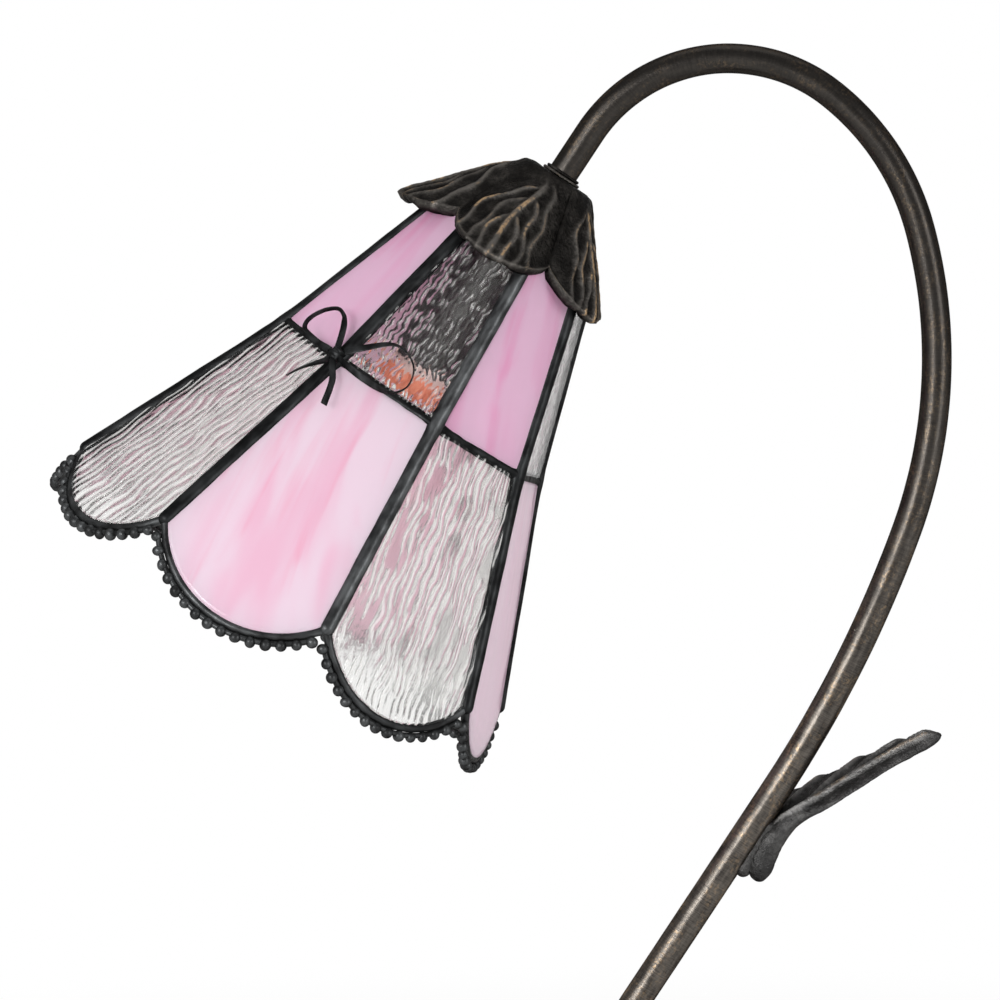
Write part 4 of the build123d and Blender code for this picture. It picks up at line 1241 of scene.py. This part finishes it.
# Stage, camera and light, in metres and watts
CAMERA_AT = (0.039, -1.667, 0.3166)
CAMERA_AIM = (0.039, 0, 0.3166)
LENS = 180
SENSOR = 36
FRAME_SHIFT = (-0.221, -0.2098)
FAR_END = 50
FLOOR_REACH = 6.0
FLOOR_LOW = -0.0004
FLOOR_GREY = paint(0.82, 0.82, 0.82)
WHITE = paint(1, 1, 1)
ROOM_GREY = paint(0.30, 0.30, 0.31)
ROOM_LIGHT = 0.55
MIDDLE = (-0.03, 0, 0.25)
SOFTBOXES = (
    ("left_softbox", (-1.1, -1.3, 0.8), MIDDLE, (0.7, 1.1), 9.8),
    ("right_softbox", (1.3, -1.0, 0.4), MIDDLE, (0.5, 1.2), 11.2),
    ("top_softbox", (0.1, 0.2, 1.6), MIDDLE, (1.0, 1.0), 3),
    ("low_softbox", (-0.57, -1.3, 0.5), (0.07, 0, 0.12), (0.35, 0.35), 8.5),
)


def aim(thing, place, target):
    thing.location = place
    thing.rotation_mode = "QUATERNION"
    thing.rotation_quaternion = (Vector(target) - Vector(place)).to_track_quat("-Z", "Y")


def camera():
    data = bpy.data.cameras.new("camera")
    data.lens = LENS
    data.sensor_width = SENSOR
    data.shift_x, data.shift_y = FRAME_SHIFT
    data.clip_end = FAR_END
    view = placed("camera", data)
    aim(view, CAMERA_AT, CAMERA_AIM)
    bpy.context.scene.camera = view


def seen_directly(nodes):
    """1 for rays that show what is behind the lamp: straight, in metal or through glass."""
    path = nodes.add("ShaderNodeLightPath")
    return path["Is Camera Ray"].either(path["Is Glossy Ray"]).either(path["Is Transmission Ray"])


def floor():
    """A pale floor that takes the lamp's shadow and turns white farther away."""
    material, nodes = finish("pale_floor")
    matt = nodes.add("ShaderNodeBsdfDiffuse", {}, {"Color": FLOOR_GREY})[0]
    white = nodes.add("ShaderNodeEmission", {}, {"Color": WHITE, "Strength": 1.0})[0]
    away = nodes.add("ShaderNodeVectorMath", {"operation": "LENGTH"}, {0: object_place(nodes)})["Value"]
    share = (away.between(0.1, 0.7) * 0.5 + 0.5) * seen_directly(nodes)
    corners = [(x * FLOOR_REACH, y * FLOOR_REACH, FLOOR_LOW) for x, y in ((-1, -1), (1, -1), (1, 1), (-1, 1))]
    mesh = new_mesh("floor", corners, [(0, 1, 2, 3)])
    mesh.materials.append(shown(material, nodes, nodes.mix(share, matt, white)))
    ground = placed("floor", mesh)


def softbox(name, place, target, size, power):
    data = bpy.data.lights.new(name, "AREA")
    data.shape = "RECTANGLE"
    data.size, data.size_y = size
    data.energy = power
    aim(placed(name, data), place, target)


def studio():
    """A room that is white behind the lamp and grey in front, where metal mirrors it, and four softboxes."""
    world = bpy.data.worlds.new("studio")
    bpy.context.scene.world = world
    world.use_nodes = True
    world.node_tree.nodes.clear()
    nodes = Nodes(world.node_tree)
    way = nodes.add("ShaderNodeSeparateXYZ", {}, {0: nodes.add("ShaderNodeTexCoord")["Generated"]})["Y"]
    room = nodes.blend(way.between(0.2, 0.75), ROOM_GREY, WHITE)
    soft = nodes.add("ShaderNodeBackground", {}, {"Color": WHITE, "Strength": ROOM_LIGHT})[0]
    seen = nodes.add("ShaderNodeBackground", {}, {"Color": room, "Strength": 1.0})[0]
    nodes.add("ShaderNodeOutputWorld", {}, {"Surface": nodes.mix(seen_directly(nodes), soft, seen)})
    for box in SOFTBOXES:
        softbox(*box)


# Pieces that keep the shape of their solids
# Metres along the shade's axis to where the liner's red begins, and how softly it does
LINER_RED_FROM = 0.0815
LINER_FADE = 0.0005
LINER_PALE = paint(0.78, 0.60, 0.55)


def red_fibre():
    """Red fibre, pale on the part nearer the cap and red past a line near the lamp holder's mouth."""
    material, nodes = finish("red_fibre")
    place = object_place(nodes)
    cloud = nodes.noise(place, (420, 420, 420), Detail=3.0)
    along = nodes.add("ShaderNodeVectorMath", {"operation": "DOT_PRODUCT"}, {0: place, 1: SHADE_Z})["Value"]
    along = along - float(HEAD @ SHADE_Z) * MM + (cloud - 0.5) * 0.003
    red = nodes.blend(cloud.between(0.3, 0.7), paint(0.90, 0.22, 0.11), paint(0.97, 0.36, 0.21))
    red_share = along.between(LINER_RED_FROM - LINER_FADE, LINER_RED_FROM + LINER_FADE)
    return shown(material, nodes, surface(
        nodes,
        Base_Color=nodes.blend(red_share, LINER_PALE, red),
        Roughness=cloud * 0.2 + 0.45,
        Normal=bump(nodes, cloud, 0.00015),
    ))


def cad_finishes():
    """Each of these pieces gets its finish."""
    brass = mottled("brass", paint(0.45, 0.31, 0.12), paint(0.68, 0.50, 0.22), 300, 0.32, 1.0)
    steel = mottled("plated_steel", paint(0.42, 0.42, 0.42), paint(0.62, 0.62, 0.61), 400, 0.30, 1.0)
    phenolic = mottled("black_phenolic", paint(0.012, 0.011, 0.011), paint(0.028, 0.026, 0.025), 350, 0.38)
    iron = mottled("cast_iron", paint(0.05, 0.05, 0.052), paint(0.11, 0.11, 0.11), 260, 0.7, 0.4, 0.0004)
    felt = mottled("felt", paint(0.020, 0.030, 0.022), paint(0.045, 0.062, 0.046), 900, 0.95, 0.0, 0.0005)
    sheath = mottled("lead_sheath", paint(0.10, 0.07, 0.04), paint(0.17, 0.12, 0.07), 500, 0.6)
    keep = {
        TURNED_BRONZE: ["foot_collar", "base_shell"],
        brass: ["thread_shell", "centre_contact", "terminal_screws", "switch_nut", "switch_spindle"],
        steel: ["foot_nut", "foot_washer", "head_nut", "head_washer", "plate_screws", "base_plate"],
        phenolic: ["holder_body", "holder_cap", "holder_core", "switch_body", "switch_knob", "cord_bushing"],
        red_fibre(): ["holder_liner"],
        iron: ["base_weight"],
        felt: ["felt_pad"],
        sheath: ["supply_lead"],
    }
    for material, nodes in keep.items():
        for node in nodes:
            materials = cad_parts[node].data.materials
            materials.clear()
            materials.append(material)


def shade():
    panes()
    rib_cames()
    cross_cames("waist_bars", "waist_came", WAIST, WAIST_CAME_R)
    cross_cames("crown_bars", "crown_came", TOP, CROWN_CAME_R)
    rim_edging()
    vase_cap()
    calyx_cap()
    neck_collar()
    bow()


bpy.context.scene.view_settings.view_transform = "Standard"
cad_finishes()
stem_tube()
stem_leaf()
shade()
camera()
floor()
studio()
